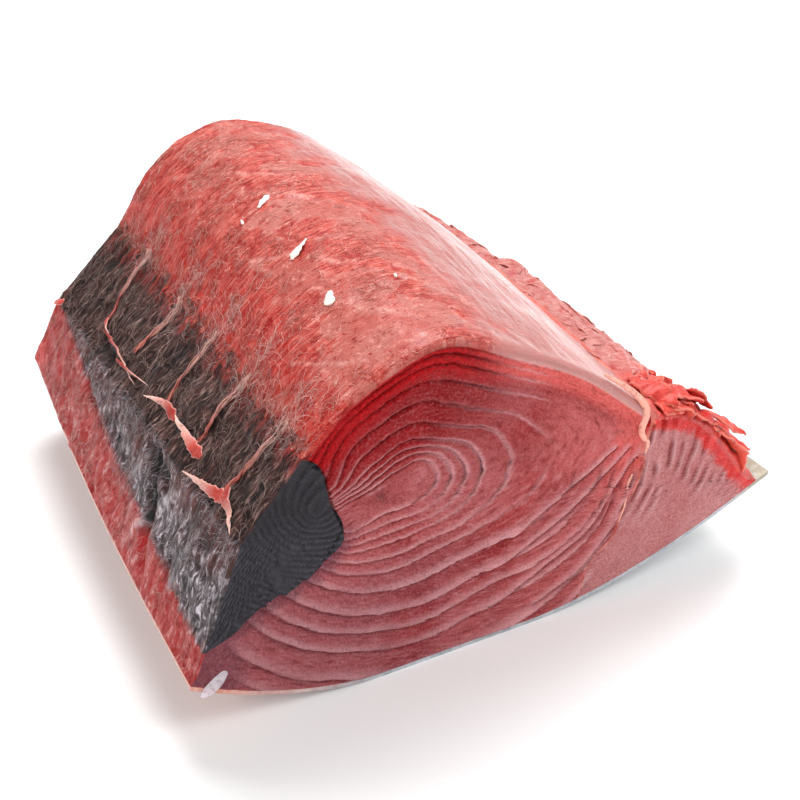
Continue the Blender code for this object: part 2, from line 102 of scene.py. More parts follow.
# The eye of the rings, a flat ellipse that rises towards the fin
EYE = ((-0.205, 0.588), (-0.165, 0.560))
EYE_HALF_LENGTH, EYE_HALF_HEIGHT = 0.066 * WIDTH, 0.011 * WIDTH
EYE_TILT = math.radians(17)
# The outermost ring leaves the rim at the septum, and fans down from there to the underside
OUTER_RING = (
    (-0.322, 0.778), (-0.240, 0.906), (-0.110, 0.992), (0.010, 0.901), (0.130, 0.778),
    (0.215, 0.665), (0.250, 0.575), (0.242, 0.480), (0.222, 0.350), (0.180, 0.200),
    (0.110, 0.085), (0.025, 0.030), (-0.100, -0.020), (-0.225, 0.005), (-0.335, 0.090),
    (-0.425, 0.230), (-0.475, 0.400), (-0.455, 0.580),
)
RING_LEVELS = (0, 0.06, 0.115, 0.165, 0.215, 0.29, 0.37, 0.48, 0.61, 0.72, 0.83, 1.0, 1.12, 1.26, 1.42)

# The dark muscle's nested lines on the cut open towards up and right from here
KITE_EYE = ((-0.305, 0.610), (-0.262, 0.560))
KITE_OPENING = (0.62, 0.78)
KITE_SPACING = 2.7 * MM
# Slanting stripes of the fin's cut
STRIPE_SPACING = 4.6 * MM
# Where the fin's part of the cut begins: (up, across) in shares
FIN_CUT_FROM = ((0.0, 0.13), (0.2, 0.19), (0.5, 0.23), (1.0, 0.26))
# Creases that fan down and left from the septum on the cut
FOLDS = (
    ((0.238, 0.486), (0.201, 0.400), (0.152, 0.269), (0.092, 0.205), (0.005, 0.134), (-0.039, 0.102)),
    ((0.214, 0.500), (0.160, 0.416), (0.104, 0.342), (0.044, 0.288), (-0.042, 0.234)),
    ((0.190, 0.512), (0.132, 0.446), (0.070, 0.382), (0.002, 0.322)),
    ((0.240, 0.458), (0.216, 0.338), (0.182, 0.222), (0.120, 0.122), (0.045, 0.060)),
)
# Painted lines, and hollows with painted shade in them, of the outside: (share of the length, corner number)
VEINS = (
    ((0.625, 3.62), (0.575, 3.92), (0.540, 4.12)),
    ((0.360, 3.55), (0.300, 3.75), (0.278, 4.00)),
    ((0.212, 3.44), (0.155, 3.62), (0.112, 3.85)),
    ((0.172, 2.62), (0.100, 2.95), (0.048, 3.28)),
    ((0.765, 3.52), (0.700, 3.72), (0.655, 4.00)),
    ((0.215, 4.22), (0.155, 4.53), (0.118, 4.95)),
    ((0.455, 3.05), (0.420, 3.25), (0.395, 3.45)),
    ((0.285, 4.70), (0.120, 4.78), (0.015, 5.32)),
    ((0.350, 5.82), (0.245, 6.02), (0.160, 6.28), (0.145, 7.05)),
    ((0.350, 0.10), (0.310, 0.42), (0.255, 0.70), (0.215, 0.88)),
    ((0.160, 0.25), (0.155, 0.48), (0.130, 0.68), (0.115, 0.82)),
    ((0.400, 0.52), (0.375, 0.75), (0.355, 0.90)),
)
CRACKS = (
    ((0.345, 0.95), (0.325, 0.75), (0.300, 0.55), (0.280, 0.32), (0.270, 0.18)),
    ((0.185, 0.45), (0.175, 0.25), (0.170, 0.05)),
    ((0.690, 0.72), (0.630, 0.60), (0.580, 0.52)),
)
POCKETS = (
    ((0.730, 1.15), (0.650, 1.10)),
    ((0.360, 0.90), (0.280, 0.88)),
    ((0.325, 0.80), (0.300, 0.55)),
    ((0.300, 0.45), (0.265, 0.15)),
)
# Middles of the smooth films on the top
FILMS = (
    (0.05, 3.90), (0.05, 3.45), (0.10, 4.32), (0.18, 3.52), (0.68, 4.35), (0.28, 4.42), (0.08, 3.00),
    (0.42, 4.20), (0.52, 3.85), (0.86, 4.00), (0.78, 3.40), (0.34, 3.30),
)
# Where the heel side turns from grey to red: share of the length, and corner number
GREY_ENDS = ((0.03, 0.10, 0.29, 0.48, 0.79, 1.00), (0.25, 0.32, 0.42, 0.50, 0.82, 1.03))

# How finely each side of the outline is divided
HEEL_STEPS, RIDGE_STEPS, ARCH_STEPS, FIN_STEPS, UNDER_STEPS = 34, 36, 40, 46, 84
STEPS_PER_SIDE = (HEEL_STEPS, RIDGE_STEPS, *[ARCH_STEPS] * 5, *[FIN_STEPS] * 2)
TOP_COUNT = sum(STEPS_PER_SIDE)
STATIONS = 144
RIM_STATIONS = 5
FRONT_LEVELS, BACK_LEVELS = 118, 26

rng = np.random.default_rng(7)


def lerp(a, b, share):
    return a + (b - a) * share


def smooth(low, high, x):
    """0 below low and 1 above high, with a soft step between. low may be the larger."""
    t = np.clip((x - low) / (high - low), 0.0, 1.0)
    return t * t * (3 - 2 * t)


def bump(distance, width):
    """1 where the distance is 0, falling softly to almost 0 at twice the width."""
    return np.exp(-((distance / width) ** 2))


def clay(points, size, seed):
    """Gradient noise from about -1 to 1 at an array of points, with lumps of that size."""
    place = np.asarray(points, float) / size + seed * 7.31
    cell = np.floor(place).astype(np.int64)
    t = place - cell
    fade = t * t * t * (t * (t * 6 - 15) + 10)
    total = np.zeros(place.shape[:-1])
    for corner in np.ndindex(2, 2, 2):
        key = cell + corner
        mixed = (key[..., 0] * 73856093) ^ (key[..., 1] * 19349663) ^ (key[..., 2] * 83492791)
        mixed = (mixed ^ (mixed >> 13)) * 1274126177 & 0xFFFFFFFF
        mixed ^= mixed >> 16
        away = t - corner
        signs = [np.where(mixed >> bit & 1, 1.0, -1.0) for bit in (3, 7, 11)]
        slope = signs[0] * away[..., 0] + signs[1] * away[..., 1] + signs[2] * away[..., 2]
        total += np.prod(np.where(corner, fade, 1 - fade), axis=-1) * slope
    return total * 0.85


def clay_layers(points, size, seed, layers=3):
    """Several sizes of noise on each other, each half as large and half as strong."""
    total = 0.0
    for layer in range(layers):
        total = total + clay(points, size / 2**layer, seed + layer) / 2**layer
    return total


def at_station(corner, share):
    """A corner's place in metres, share 0 at the cut and 1 at the far end."""
    front, back = corner[0], corner[1]
    swell = corner[2] if len(corner) > 2 else (0.0, 0.0)
    bulge = math.sin(math.pi * min(max(share, 0.0), 1.0))
    across = lerp(front[0], back[0], share) + swell[0] * bulge
    up = lerp(front[1], back[1], share) + swell[1] * bulge
    return np.array((across * WIDTH, up * HEIGHT))


def spline_through(points, per_span):
    """Points on a Catmull-Rom curve through the given ones, the last one left out."""
    points = [np.asarray(point, float) for point in points]
    held = [2 * points[0] - points[1], *points, 2 * points[-1] - points[-2]]
    curve = []
    for before, start, end, after in zip(held, held[1:], held[2:], held[3:]):
        for t in np.arange(per_span) / per_span:
            bend = 2 * before - 5 * start + 4 * end - after
            twist = 3 * start - before - 3 * end + after
            curve.append(0.5 * (2 * start + (end - before) * t + bend * t**2 + twist * t**3))
    return curve


def curve_through(points, per_span):
    """The same curve with its last point."""
    return np.array([*spline_through(points, per_span), points[-1]])


def straight(start, end, count):
    return [lerp(start, end, step / count) for step in range(count)]


def underside(across, heel, tip, lift):
    """Height of the underside at a place across, lifted square to its slope."""
    height, slope = 0.0, 0.0
    flat_from, flat_to = FLAT_FROM * WIDTH, FLAT_TO * WIDTH
    if across < flat_from:
        reach = flat_from - heel[0]
        share = (flat_from - across) / reach
        height = heel[1] * share**HEEL_CURL
        slope = heel[1] * HEEL_CURL * share ** (HEEL_CURL - 1) / reach
    elif across > flat_to:
        reach = tip[0] - flat_to
        share = (across - flat_to) / reach
        height = tip[1] * share**FIN_CURL
        slope = tip[1] * FIN_CURL * share ** (FIN_CURL - 1) / reach
    return height + lift * math.hypot(1.0, slope)


def block_outline(share):
    """The flesh's outline, from the heel over the top to the fin tip, then back underneath."""
    heel, ridge, dark_top = (at_station(c, share) for c in (HEEL, RIDGE, DARK_TOP))
    tip = at_station(FIN_TIP, share)
    lift = SKIN_THICKNESS - 0.1 * MM
    heel_foot = np.array((heel[0], underside(heel[0], heel, tip, lift)))
    tip_foot = np.array((tip[0], underside(tip[0], heel, tip, lift)))
    arch = [at_station(c, share) for c in (DARK_TOP, BROW, CROWN, SHOULDER, SLOPE, SEPTUM_TOP)]
    fin = [arch[-1], at_station(FIN_BROW, share), tip_foot]
    points = straight(heel_foot, ridge, HEEL_STEPS)
    points += straight(ridge, dark_top, RIDGE_STEPS)
    points += spline_through(arch, ARCH_STEPS)
    points += spline_through(fin, FIN_STEPS)
    for across in straight(tip[0], heel[0], UNDER_STEPS):
        points.append((across, underside(across, heel, tip, lift)))
    return np.array(points)


def outward(outline):
    """Unit normals of a closed outline that runs clockwise, as seen from -Y."""
    along = np.roll(outline, -1, axis=0) - np.roll(outline, 1, axis=0)
    normal = np.stack((-along[:, 1], along[:, 0]), axis=1)
    return normal / np.linalg.norm(normal, axis=1)[:, None]


def corner_numbers():
    """For each point over the top, its place among the corners: 0 heel, 1 ridge ... 9 fin tip."""
    numbers = []
    for side, steps in enumerate(STEPS_PER_SIDE):
        numbers.extend(side + np.arange(steps) / steps)
    return np.array([*numbers, float(len(STEPS_PER_SIDE))])


CORNER = corner_numbers()


def line_distance(points, line):
    """Distance in metres from each 2D point to an open line."""
    best = np.full(points.shape[:-1], np.inf)
    for start, end in zip(line, line[1:]):
        along = end - start
        t = np.clip(((points - start) @ along) / (along @ along), 0.0, 1.0)
        gap = points - (start + t[..., None] * along)
        best = np.minimum(best, np.hypot(gap[..., 0], gap[..., 1]))
    return best


# Rings of the cut


def ring_outline():
    points = [np.array(point) * (WIDTH, HEIGHT) for point in OUTER_RING]
    return np.array(spline_through([*points, points[0]], 10))


def reach_by_bearing(outline, centre, bearing):
    """How far the outline is from the centre at each bearing."""
    closed = np.vstack((outline, outline[:1]))
    fine = np.concatenate([np.array(straight(a, b, 8)) for a, b in zip(closed, closed[1:])])
    away = fine - centre
    angle = np.arctan2(away[:, 1], away[:, 0])
    order = np.argsort(angle)
    angle, length = angle[order], np.hypot(away[:, 0], away[:, 1])[order]
    turn = 2 * math.pi
    angle = np.concatenate((angle - turn, angle, angle + turn))
    return np.interp(bearing, angle, np.tile(length, 3))


def ring_level(x, z, share):
    """0 at the rings' eye and 1 at the outermost ring, crowded towards the rim and the septum."""
    centre = at_station(EYE, share)
    dx, dz = x - centre[0], z - centre[1]
    reach = np.hypot(dx, dz) + 1e-9
    bearing = np.arctan2(dz, dx)
    along = (dx * math.cos(EYE_TILT) + dz * math.sin(EYE_TILT)) / reach
    across = (dz * math.cos(EYE_TILT) - dx * math.sin(EYE_TILT)) / reach
    eye = 1 / np.hypot(along / EYE_HALF_LENGTH, across / EYE_HALF_HEIGHT)
    outer = reach_by_bearing(ring_outline(), centre, bearing)
    level = (reach - eye) / (outer - eye)
    # Close to the eye the rings follow a short line with round ends
    past_end = np.clip(np.abs(along) * reach - (EYE_HALF_LENGTH - EYE_HALF_HEIGHT), 0, None)
    close = (np.hypot(past_end, across * reach) - EYE_HALF_HEIGHT) / (outer - eye)
    level = lerp(close, level, smooth(0.10, 0.50, level))
    degrees = np.degrees(bearing)
    crowded = 2.4 * smooth(-50, -10, degrees) * smooth(170, 110, degrees)
    power = 1 + crowded * np.clip(level, 0, 1) ** 2
    return np.where(level > 0, np.abs(level) ** power, level), bearing


def cut_looks(x, z, edge_distance, share):
    """Relief in metres and masks of colour over one cut."""
    flat = np.stack((x, np.full_like(x, 0.3 * share), z), axis=-1)
    level, bearing = ring_level(x, z, share)
    degrees = np.degrees(bearing)
    phase = np.interp(level, RING_LEVELS, np.arange(len(RING_LEVELS)))
    spacing = np.abs(np.gradient(np.hypot(x - x[-1, 0], z - z[-1, 0]), axis=0))
    spacing = spacing / np.maximum(np.abs(np.gradient(phase, axis=0)), 1e-4)
    spacing = np.clip(spacing, 1.2 * MM, 14 * MM)
    phase = phase + 0.13 * clay(flat, 19 * MM, 1) + 0.06 * clay(flat, 6 * MM, 2)
    far = share > 0.5
    if not far:
        phase = phase + 0.35 * MM / spacing * clay(flat, 2.2 * MM, 3)
    part = phase - np.floor(phase)
    line = np.minimum(part, 1 - part) * spacing

    below = smooth(-14, -34, degrees) * smooth(-180, -176, degrees) + smooth(172, 180, degrees)
    above_fan = smooth(-16, -4, degrees) * smooth(150, 120, degrees)
    fades_right = above_fan * smooth(-10 * MM, 18 * MM, x)
    strength = (1 - 0.92 * fades_right) * (0.75 + 0.45 * clay(flat, 14 * MM, 4))
    strength = strength * smooth(-93 * MM, -78 * MM, x) * smooth(0.0, 0.05, level)

    drop_share = np.clip(0.85 * MM / spacing, 0.07, 0.34)
    drop = smooth(1 - drop_share, 1.0, part)
    terrace = part**1.6 * (1 - drop)
    step_height = 1.75 * MM * np.clip(spacing / (5 * MM), 0.45, 1.15)
    groove_line = bump(line, 0.42 * MM)
    polar = np.stack(
        (level * 95, 20 * np.cos(bearing), 20 * np.sin(bearing)), axis=-1
    )
    grain = clay(polar, 1.0, 5) * (1 - 0.25 * above_fan)
    fleck = clay(polar * (1.9, 2.3, 2.3), 1.0, 6)
    tear = clay_layers(flat, 3.2 * MM, 7, 2)

    relief = step_height * terrace * strength * (below + 0.38 * (1 - below))
    relief -= 0.80 * MM * groove_line * strength * (1 - below) * (1 - fades_right)
    relief += 0.16 * MM * grain + 0.09 * MM * fleck + 0.14 * MM * tear

    # Painted shade: dark at the foot of each ring's drop below the eye, and along the sunk grooves above it
    foot = bump(part * spacing, 0.62 * MM) * below + drop * below
    groove_shade = np.clip(foot + groove_line * (1 - below), 0, 1) * strength
    # Painted highlight: light on the rings' raised lips below the eye, and just beyond each groove above it;
    # the thin pale arcs beside the eye join this mask
    lip = smooth(0.45, 1 - 0.8 * drop_share, part) * (1 - drop) * below
    near_eye = smooth(26 * MM, 2 * MM, x) * smooth(84 * MM, 72 * MM, z) * smooth(-66 * MM, -56 * MM, x)
    lip += (0.14 + 0.75 * near_eye) * bump(part * spacing - 0.9 * MM, 0.55 * MM) * (1 - below)
    arcs = bump(line, 0.36 * MM) * smooth(-52, -30, degrees) * smooth(60, 25, degrees)
    arcs *= smooth(-34 * MM, -22 * MM, x) * smooth(17 * MM, 5 * MM, x)
    lip = np.clip(lip * strength + 0.75 * arcs, 0, 1)
    groove_shade = groove_shade * (1 - 0.8 * arcs)

    wall = np.array([at_station(c, share) for c in DARK_WALL])
    septum = np.array([at_station(c, share) for c in SEPTUM_LINE])
    place = np.stack((x, z), axis=-1)
    # Each fold's sunk crease is painted shade and its raised ridge painted highlight, on top of their relief
    for number, fold in enumerate(() if far else FOLDS):
        line = np.array(spline_through([np.array(c) * (WIDTH, HEIGHT) for c in fold], 6))
        shaken = place + 0.5 * MM * clay(flat, 9 * MM, 61 + number)[..., None]
        shaded_crease = bump(line_distance(shaken, line), 0.55 * MM)
        ridge = bump(line_distance(shaken, line + (-0.9 * MM, 1.0 * MM)), 0.95 * MM)
        relief += 0.75 * MM * ridge - 0.7 * MM * shaded_crease
        groove_shade = np.maximum(groove_shade, 0.85 * shaded_crease)
        lip = np.maximum(lip, 0.75 * ridge * (1 - shaded_crease))
    to_wall = line_distance(place, wall)
    to_septum = line_distance(place, septum)
    past_septum = x > np.interp(z, septum[::-1, 1], septum[::-1, 0])
    crevice = bump(to_wall, 0.55 * MM)
    cord = bump(to_septum, 1.9 * MM) * smooth(28 * MM, 52 * MM, z)
    relief -= 1.0 * MM * crevice * smooth(40 * MM, 56 * MM, z)
    relief = np.where(past_septum, 0.25 * relief, relief)
    relief += 1.5 * MM * cord

    rim_band = smooth(12.5 * MM, 4.5 * MM, edge_distance + 1.5 * MM * tear)
    blood = rim_band * smooth(8 * MM, -20 * MM, x)
    blood = blood * smooth(-72 * MM, -62 * MM, x) * smooth(72 * MM, 82 * MM, z)
    salmon = smooth(20 * MM, 2 * MM, to_septum + 4 * MM * tear) * smooth(26 * MM, 50 * MM, z)
    upper_rim = smooth(10 * MM, 3 * MM, edge_distance) * smooth(-20 * MM, -2 * MM, x)
    salmon = np.maximum(salmon, upper_rim * smooth(58 * MM, 66 * MM, z))
    # The cut's greyish mauve: partly its own tone and partly a painted sheen
    middle = bump(x - 12 * MM, 34 * MM) * bump(z - 60 * MM, 26 * MM)
    mauve_and_sheen = smooth(-0.1, 0.5, clay(flat, 24 * MM, 8) + 0.5 * middle)
    mauve_and_sheen = np.maximum(0.7 * mauve_and_sheen, smooth(-28 * MM, -48 * MM, x) * smooth(66 * MM, 58 * MM, z))
    rosy = smooth(0, 26 * MM, x + 2 * MM * tear) * smooth(44 * MM, 58 * MM, z)
    rosy = rosy * smooth(3 * MM, 14 * MM, edge_distance)
    mauve_and_sheen = np.maximum(mauve_and_sheen, rosy)
    salmon = np.maximum(salmon, 0.35 * rosy)
    eye = smooth(0.50, 0.08, level) * smooth(0.0, 1.0, 1.2 - np.abs(z - 62 * MM) / (16 * MM))
    low = smooth(72 * MM, 46 * MM, z - 0.25 * x)
    dark = smooth(8 * MM, 1 * MM, to_wall + 1.4 * MM * tear) * smooth(66 * MM, 50 * MM, z)
    dark = np.maximum(dark, smooth(-78 * MM, -88 * MM, x + 3 * MM * tear) * smooth(36 * MM, 30 * MM, z))
    dark = np.maximum(dark, 0.50 * smooth(10 * MM, -50 * MM, x) * smooth(52 * MM, 34 * MM, z))
    mauve_and_sheen = np.maximum(mauve_and_sheen, 0.6 * smooth(-30 * MM, 4 * MM, x) * smooth(36 * MM, 16 * MM, z))
    pale = 0.9 * bump(to_septum + 0.7 * MM * tear, 0.8 * MM) * smooth(50 * MM, 40 * MM, z)
    pale = pale * smooth(0.05, 0.35, clay(flat, 9 * MM, 9))
    masks = {
        "groove_shade": groove_shade, "lip": lip, "blood": blood, "salmon": salmon, "mauve_and_sheen": mauve_and_sheen,
        "low": low, "dark": dark, "pale": pale, "eye": eye,
        "grain": 0.5 + 0.5 * grain, "fleck": 0.5 + 0.5 * fleck,
    }
    if far:
        # The finish draws the far cut's rings, with their painted shade and highlight, because its mesh is
        # too coarse for them
        relief = 0.5 * MM * clay(flat, 14 * MM, 10) + 0.8 * MM * cord
        masks["rings"], masks["far_lines"] = np.clip(phase, 0.0, None), strength * (1 - past_septum)
        masks.update({name: 0 * x for name in ("groove_shade", "lip", "pale", "dark")})
        masks.update({name: 0 * x + 0.5 for name in ("grain", "fleck")})
    return relief, masks


def kite_looks(x, z, share):
    """Relief of the dark muscle's nested lines, which open towards the rings' eye, with a painted sheen on
    each lip and painted shade at each foot.
    """
    centre = at_station(KITE_EYE, share)
    dx, dz = x - centre[0], z - centre[1]
    reach = np.hypot(dx, dz)
    flat = np.stack((x, np.full_like(x, 0.11), z), axis=-1)
    phase = (reach - 0.6 * (dx * KITE_OPENING[0] + dz * KITE_OPENING[1])) / KITE_SPACING
    phase = phase + 0.35 * clay(flat, 8 * MM, 11) + 0.12 * clay(flat, 2.5 * MM, 12)
    part = phase - np.floor(phase)
    relief = 0.70 * MM * part**1.5 * smooth(1.0, 0.8, part) + 0.14 * MM * clay_layers(flat, 1.6 * MM, 13, 2)
    # Painted highlight just before each step's drop, and painted shade at the foot below it
    sheen = part**3 * smooth(1.0, 0.88, part) * (1 - 0.8 * smooth(58 * MM, 72 * MM, z))
    return relief, sheen, smooth(0.20, 0.0, part)


def fin_cut_looks(x, z):
    """Slanting dark and light stripes in the upper part of the fin's cut."""
    flat = np.stack((x, np.full_like(x, 0.07), z), axis=-1)
    rise = z - 44 * MM
    lean = 0.20 + 5.0 * (x - 50 * MM)
    shaken = 1.2 * MM * clay(flat, 9 * MM, 15) + 0.3 * MM * clay(flat, 3 * MM, 16)
    slant = x - lean * rise + 9.0 * rise**2 + shaken
    stripe = (slant / STRIPE_SPACING) % 1.0
    uneven = smooth(-0.5, 0.3, clay(flat, 7 * MM, 17))
    dark = bump((stripe - 0.5) * STRIPE_SPACING, 0.75 * MM) * smooth(22 * MM, 35 * MM, z) * uneven
    light = bump((stripe - 0.68) * STRIPE_SPACING, 0.80 * MM) * smooth(14 * MM, 32 * MM, z) * uneven
    return dark, light


def end_looks(x, z, edge_distance, share):
    """Relief in metres and masks over a whole end: the rings, the dark muscle and the fin's part."""
    relief, masks = cut_looks(x, z, edge_distance, share)
    kite_relief, sheen, shaded_crack = kite_looks(x, z, share)
    stripe_dark, stripe_light = fin_cut_looks(x, z)
    if share > 0.5:
        # The far cut's mesh is too coarse for the kite's lines and the stripes
        kite_relief, shaded_crack, stripe_dark, stripe_light = (0 * x for _ in range(4))
        sheen = 0 * x + 0.25
    wall = np.array([at_station(c, share) for c in DARK_WALL])
    left_of_wall = x < np.interp(z, wall[::-1, 1], wall[::-1, 0])
    low_left = z > np.interp(x, wall[::-1, 0], wall[::-1, 1])
    in_kite = left_of_wall & (low_left | (z > wall[4, 1]))
    relief = np.where(in_kite, kite_relief, relief) * smooth(0.0, 1.6 * MM, edge_distance)
    fin_from = np.array(FIN_CUT_FROM) * (HEIGHT, WIDTH)
    past = x > np.interp(z, fin_from[:, 0], fin_from[:, 1])
    relief = relief + past * (0.7 * MM * stripe_light - 0.7 * MM * stripe_dark)
    fin_top = np.array([at_station(c, share) for c in (SEPTUM_TOP, FIN_BROW, FIN_TIP)])
    ragged = 1.6 * MM * clay_layers(np.stack((x, 0 * x, z), axis=-1), 4 * MM, 18, 2)
    to_top = line_distance(np.stack((x, z), axis=-1), fin_top) + ragged
    # On the fin's part the sunk stripes take the painted shade mask and the raised ones the painted
    # highlight mask
    own = {"groove_shade": stripe_dark, "lip": stripe_light, "blood": smooth(6.5 * MM, 4.0 * MM, to_top)}
    masks.update({name: np.where(past, values, masks[name]) for name, values in own.items()})
    masks.update({"sheen": sheen, "shaded_crack": shaded_crack, "cut": np.ones_like(x)})
    masks.update({"share": np.full_like(x, share), "fine": np.full_like(x, 0.5)})
    return relief, masks


# The block's outside


def side_looks(x, y, z, share, corner):
    """Relief in metres and masks of colour over the sides and the top."""
    place = np.stack((x, y, z), axis=-1)
    big = clay(place, 30 * MM, 21)
    middle = clay_layers(place, 12 * MM, 22, 2)
    fine = clay_layers(place, 3.2 * MM, 23, 2)
    along_y = np.stack((corner * CORNER_SPAN / 1.5, y / 20 + 0.3 * MM * middle, 0 * z), axis=-1)
    streak = clay_layers(along_y, 1.0 * MM, 24, 2)
    across_c = np.stack((corner * CORNER_SPAN / 9.0, y / 2.4 + 0.25 * MM * middle, 0 * z), axis=-1)
    strand = clay_layers(across_c, 1.0 * MM, 25, 2)
    pit_noise = clay_layers(place * (1.0, 0.8, 1.0), 4.5 * MM, 26, 3)

    heel = smooth(1.03, 0.97, corner)
    band = smooth(0.97, 1.03, corner) * smooth(2.06, 1.94, corner)
    arch = smooth(1.94, 2.06, corner) * smooth(7.02, 6.98, corner)
    fin = smooth(6.98, 7.02, corner)
    near_band = arch * smooth(3.5, 2.2, corner)
    crown = arch * smooth(2.6, 3.2, corner) * smooth(5.4, 4.4, corner)
    shoulder = arch * smooth(4.2, 5.3, corner + 0.5 * middle)
    pits = smooth(0.22, 0.42, pit_noise) * (0.9 * crown + 0.5 * near_band + 0.15 * shoulder)
    flat_place = np.stack((share * LENGTH, corner * CORNER_SPAN), axis=-1) + 0.8 * MM * fine[..., None]
    torn_edge = flat_place + 2.2 * MM * middle[..., None]
    smooth_film = sum(bump(np.linalg.norm(torn_edge - laid(at), axis=-1), 10 * MM) for at in FILMS)
    film = smooth(0.26, 0.62, smooth_film + 0.8 * clay_layers(place, 13 * MM, 27, 3) + 0.25 * fine)
    film = film * (crown + 0.4 * shoulder)

    # Sunk creases, pockets and cracks of the heel and the dark band, painted dark as shade
    crumple = np.stack((corner * CORNER_SPAN / 2.6, y, 0 * z), axis=-1) + 1.6 * MM * middle[..., None]
    shaded_crease = 0.6 * smooth(0.16, 0.0, np.abs(clay(crumple, 9 * MM, 31)))
    shaded_crease = np.maximum(shaded_crease, 0.9 * smooth(0.10, 0.0, np.abs(clay(crumple, 17 * MM, 32))))
    pocket = sum(bump(line_distance(flat_place, laid(path)), 2.6 * MM) for path in POCKETS)
    shaded_crack = sum(bump(line_distance(flat_place, laid(path)), 1.1 * MM) for path in CRACKS)
    shaded_crease = np.clip(shaded_crease * (0.55 + 0.5 * big) + pocket + shaded_crack, 0, 1) * (heel + band)
    vein = sum(bump(line_distance(flat_place, laid(path)), 0.85 * MM) for path in VEINS)
    vein = np.clip(vein * (0.75 + 0.6 * fine), 0, 1)
    red_heel = np.interp(share, *GREY_ENDS) - corner + 0.10 * middle
    red_heel = heel * smooth(-0.05, 0.06, red_heel)
    far_rim = smooth(0.90, 0.985, share + 0.02 * middle) * smooth(1.06, 0.94, corner)

    relief = 1.1 * MM * big * (1 - 0.3 * shoulder)
    relief += band * (0.80 * MM * strand + 0.45 * MM * fine + 1.5 * MM * middle)
    relief += heel * (0.60 * MM * strand + 0.35 * MM * fine + 1.2 * MM * middle)
    relief -= shaded_crease * (1.3 * MM - 0.9 * MM * red_heel) + 1.2 * MM * pocket + 0.8 * MM * shaded_crack
    relief += near_band * (0.34 * MM * strand + 0.42 * MM * fine)
    relief += crown * (0.34 * MM * fine * (1 - 0.8 * film) + 0.45 * MM * middle)
    relief += shoulder * (0.10 * MM * streak + 0.08 * MM * fine)
    relief += 0.25 * MM * vein
    relief -= 0.30 * MM * pits
    crag = np.abs(clay(place, 11 * MM, 28))
    rag = clay_layers(place, 4.5 * MM, 29, 2)
    torn = fin * smooth(9.0, 8.85, corner) * smooth(7.0, 7.25, corner)
    front_torn = torn * smooth(0.22, 0.06, share + 0.04 * middle)
    relief += torn * (3.0 * MM * (crag - 0.30) + 0.7 * MM * rag) + front_torn * 1.0 * MM * rag

    septum_gap = np.abs(corner - 7.0 - 0.03 * middle)
    # On the shoulder the pale mask is a painted sheen: whitish streaks along the fish, plain and weaker at
    # the front rim
    sheen = smooth(4.5, 5.8, corner) * smooth(7.1, 6.6, corner) * smooth(-0.05, 0.3, share + 0.1 * middle)
    pale = shoulder * (0.25 + 0.75 * sheen) * smooth(-0.6, 0.4, streak + 0.5 * middle)
    pale = lerp(0.45 * shoulder, np.clip(pale, 0, 1), smooth(0.008, 0.04, share))
    edge = smooth(2.22, 1.98, corner + 0.10 * fine) * smooth(1.70, 1.95, corner + 0.10 * fine)
    masks = {
        "heel": heel, "crown": crown, "shoulder": shoulder,
        "film": film, "pits": np.clip(pits, 0, 1), "pale": pale, "front_torn": front_torn,
        "strand": 0.5 + 0.5 * strand, "fine": np.clip(0.5 + 0.5 * fine, 0, 1),
        "septum_gap": septum_gap, "shaded_crease": shaded_crease, "red_heel": red_heel, "far_rim": far_rim,
        "edge": edge, "vein": vein, "brown": heel * smooth(0.58, 0.92, corner + 0.10 * middle),
    }
    return relief, masks


def laid(path):
    """A path of (share, corner) laid out flat in metres."""
    return np.array(path) * (LENGTH, CORNER_SPAN)


def rim_inset(from_end, radius):
    depth = np.clip(radius - from_end, 0, None)
    return radius - np.sqrt(np.clip(radius**2 - depth**2, 0, None))


def station_places():
    rim = RIM_RADIUS * (np.arange(RIM_STATIONS) / (RIM_STATIONS - 1)) ** 1.5
    inner = np.linspace(rim[-1], LENGTH - rim[-1], STATIONS - 2 * RIM_STATIONS + 2)[1:-1]
    return np.concatenate((rim, inner, LENGTH - rim[::-1]))


# Everything that the finishes read at the block's points, from 0 to 1
MASKS = (
    "cut", "groove_shade", "lip", "blood", "salmon", "mauve_and_sheen", "low", "dark", "pale", "grain", "fleck", "eye",
    "rings", "far_lines", "sheen", "shaded_crack", "heel", "crown", "shoulder", "film", "pits", "front_torn",
    "strand", "fine", "share", "shaded_crease", "red_heel", "far_rim", "edge", "vein", "brown",
)


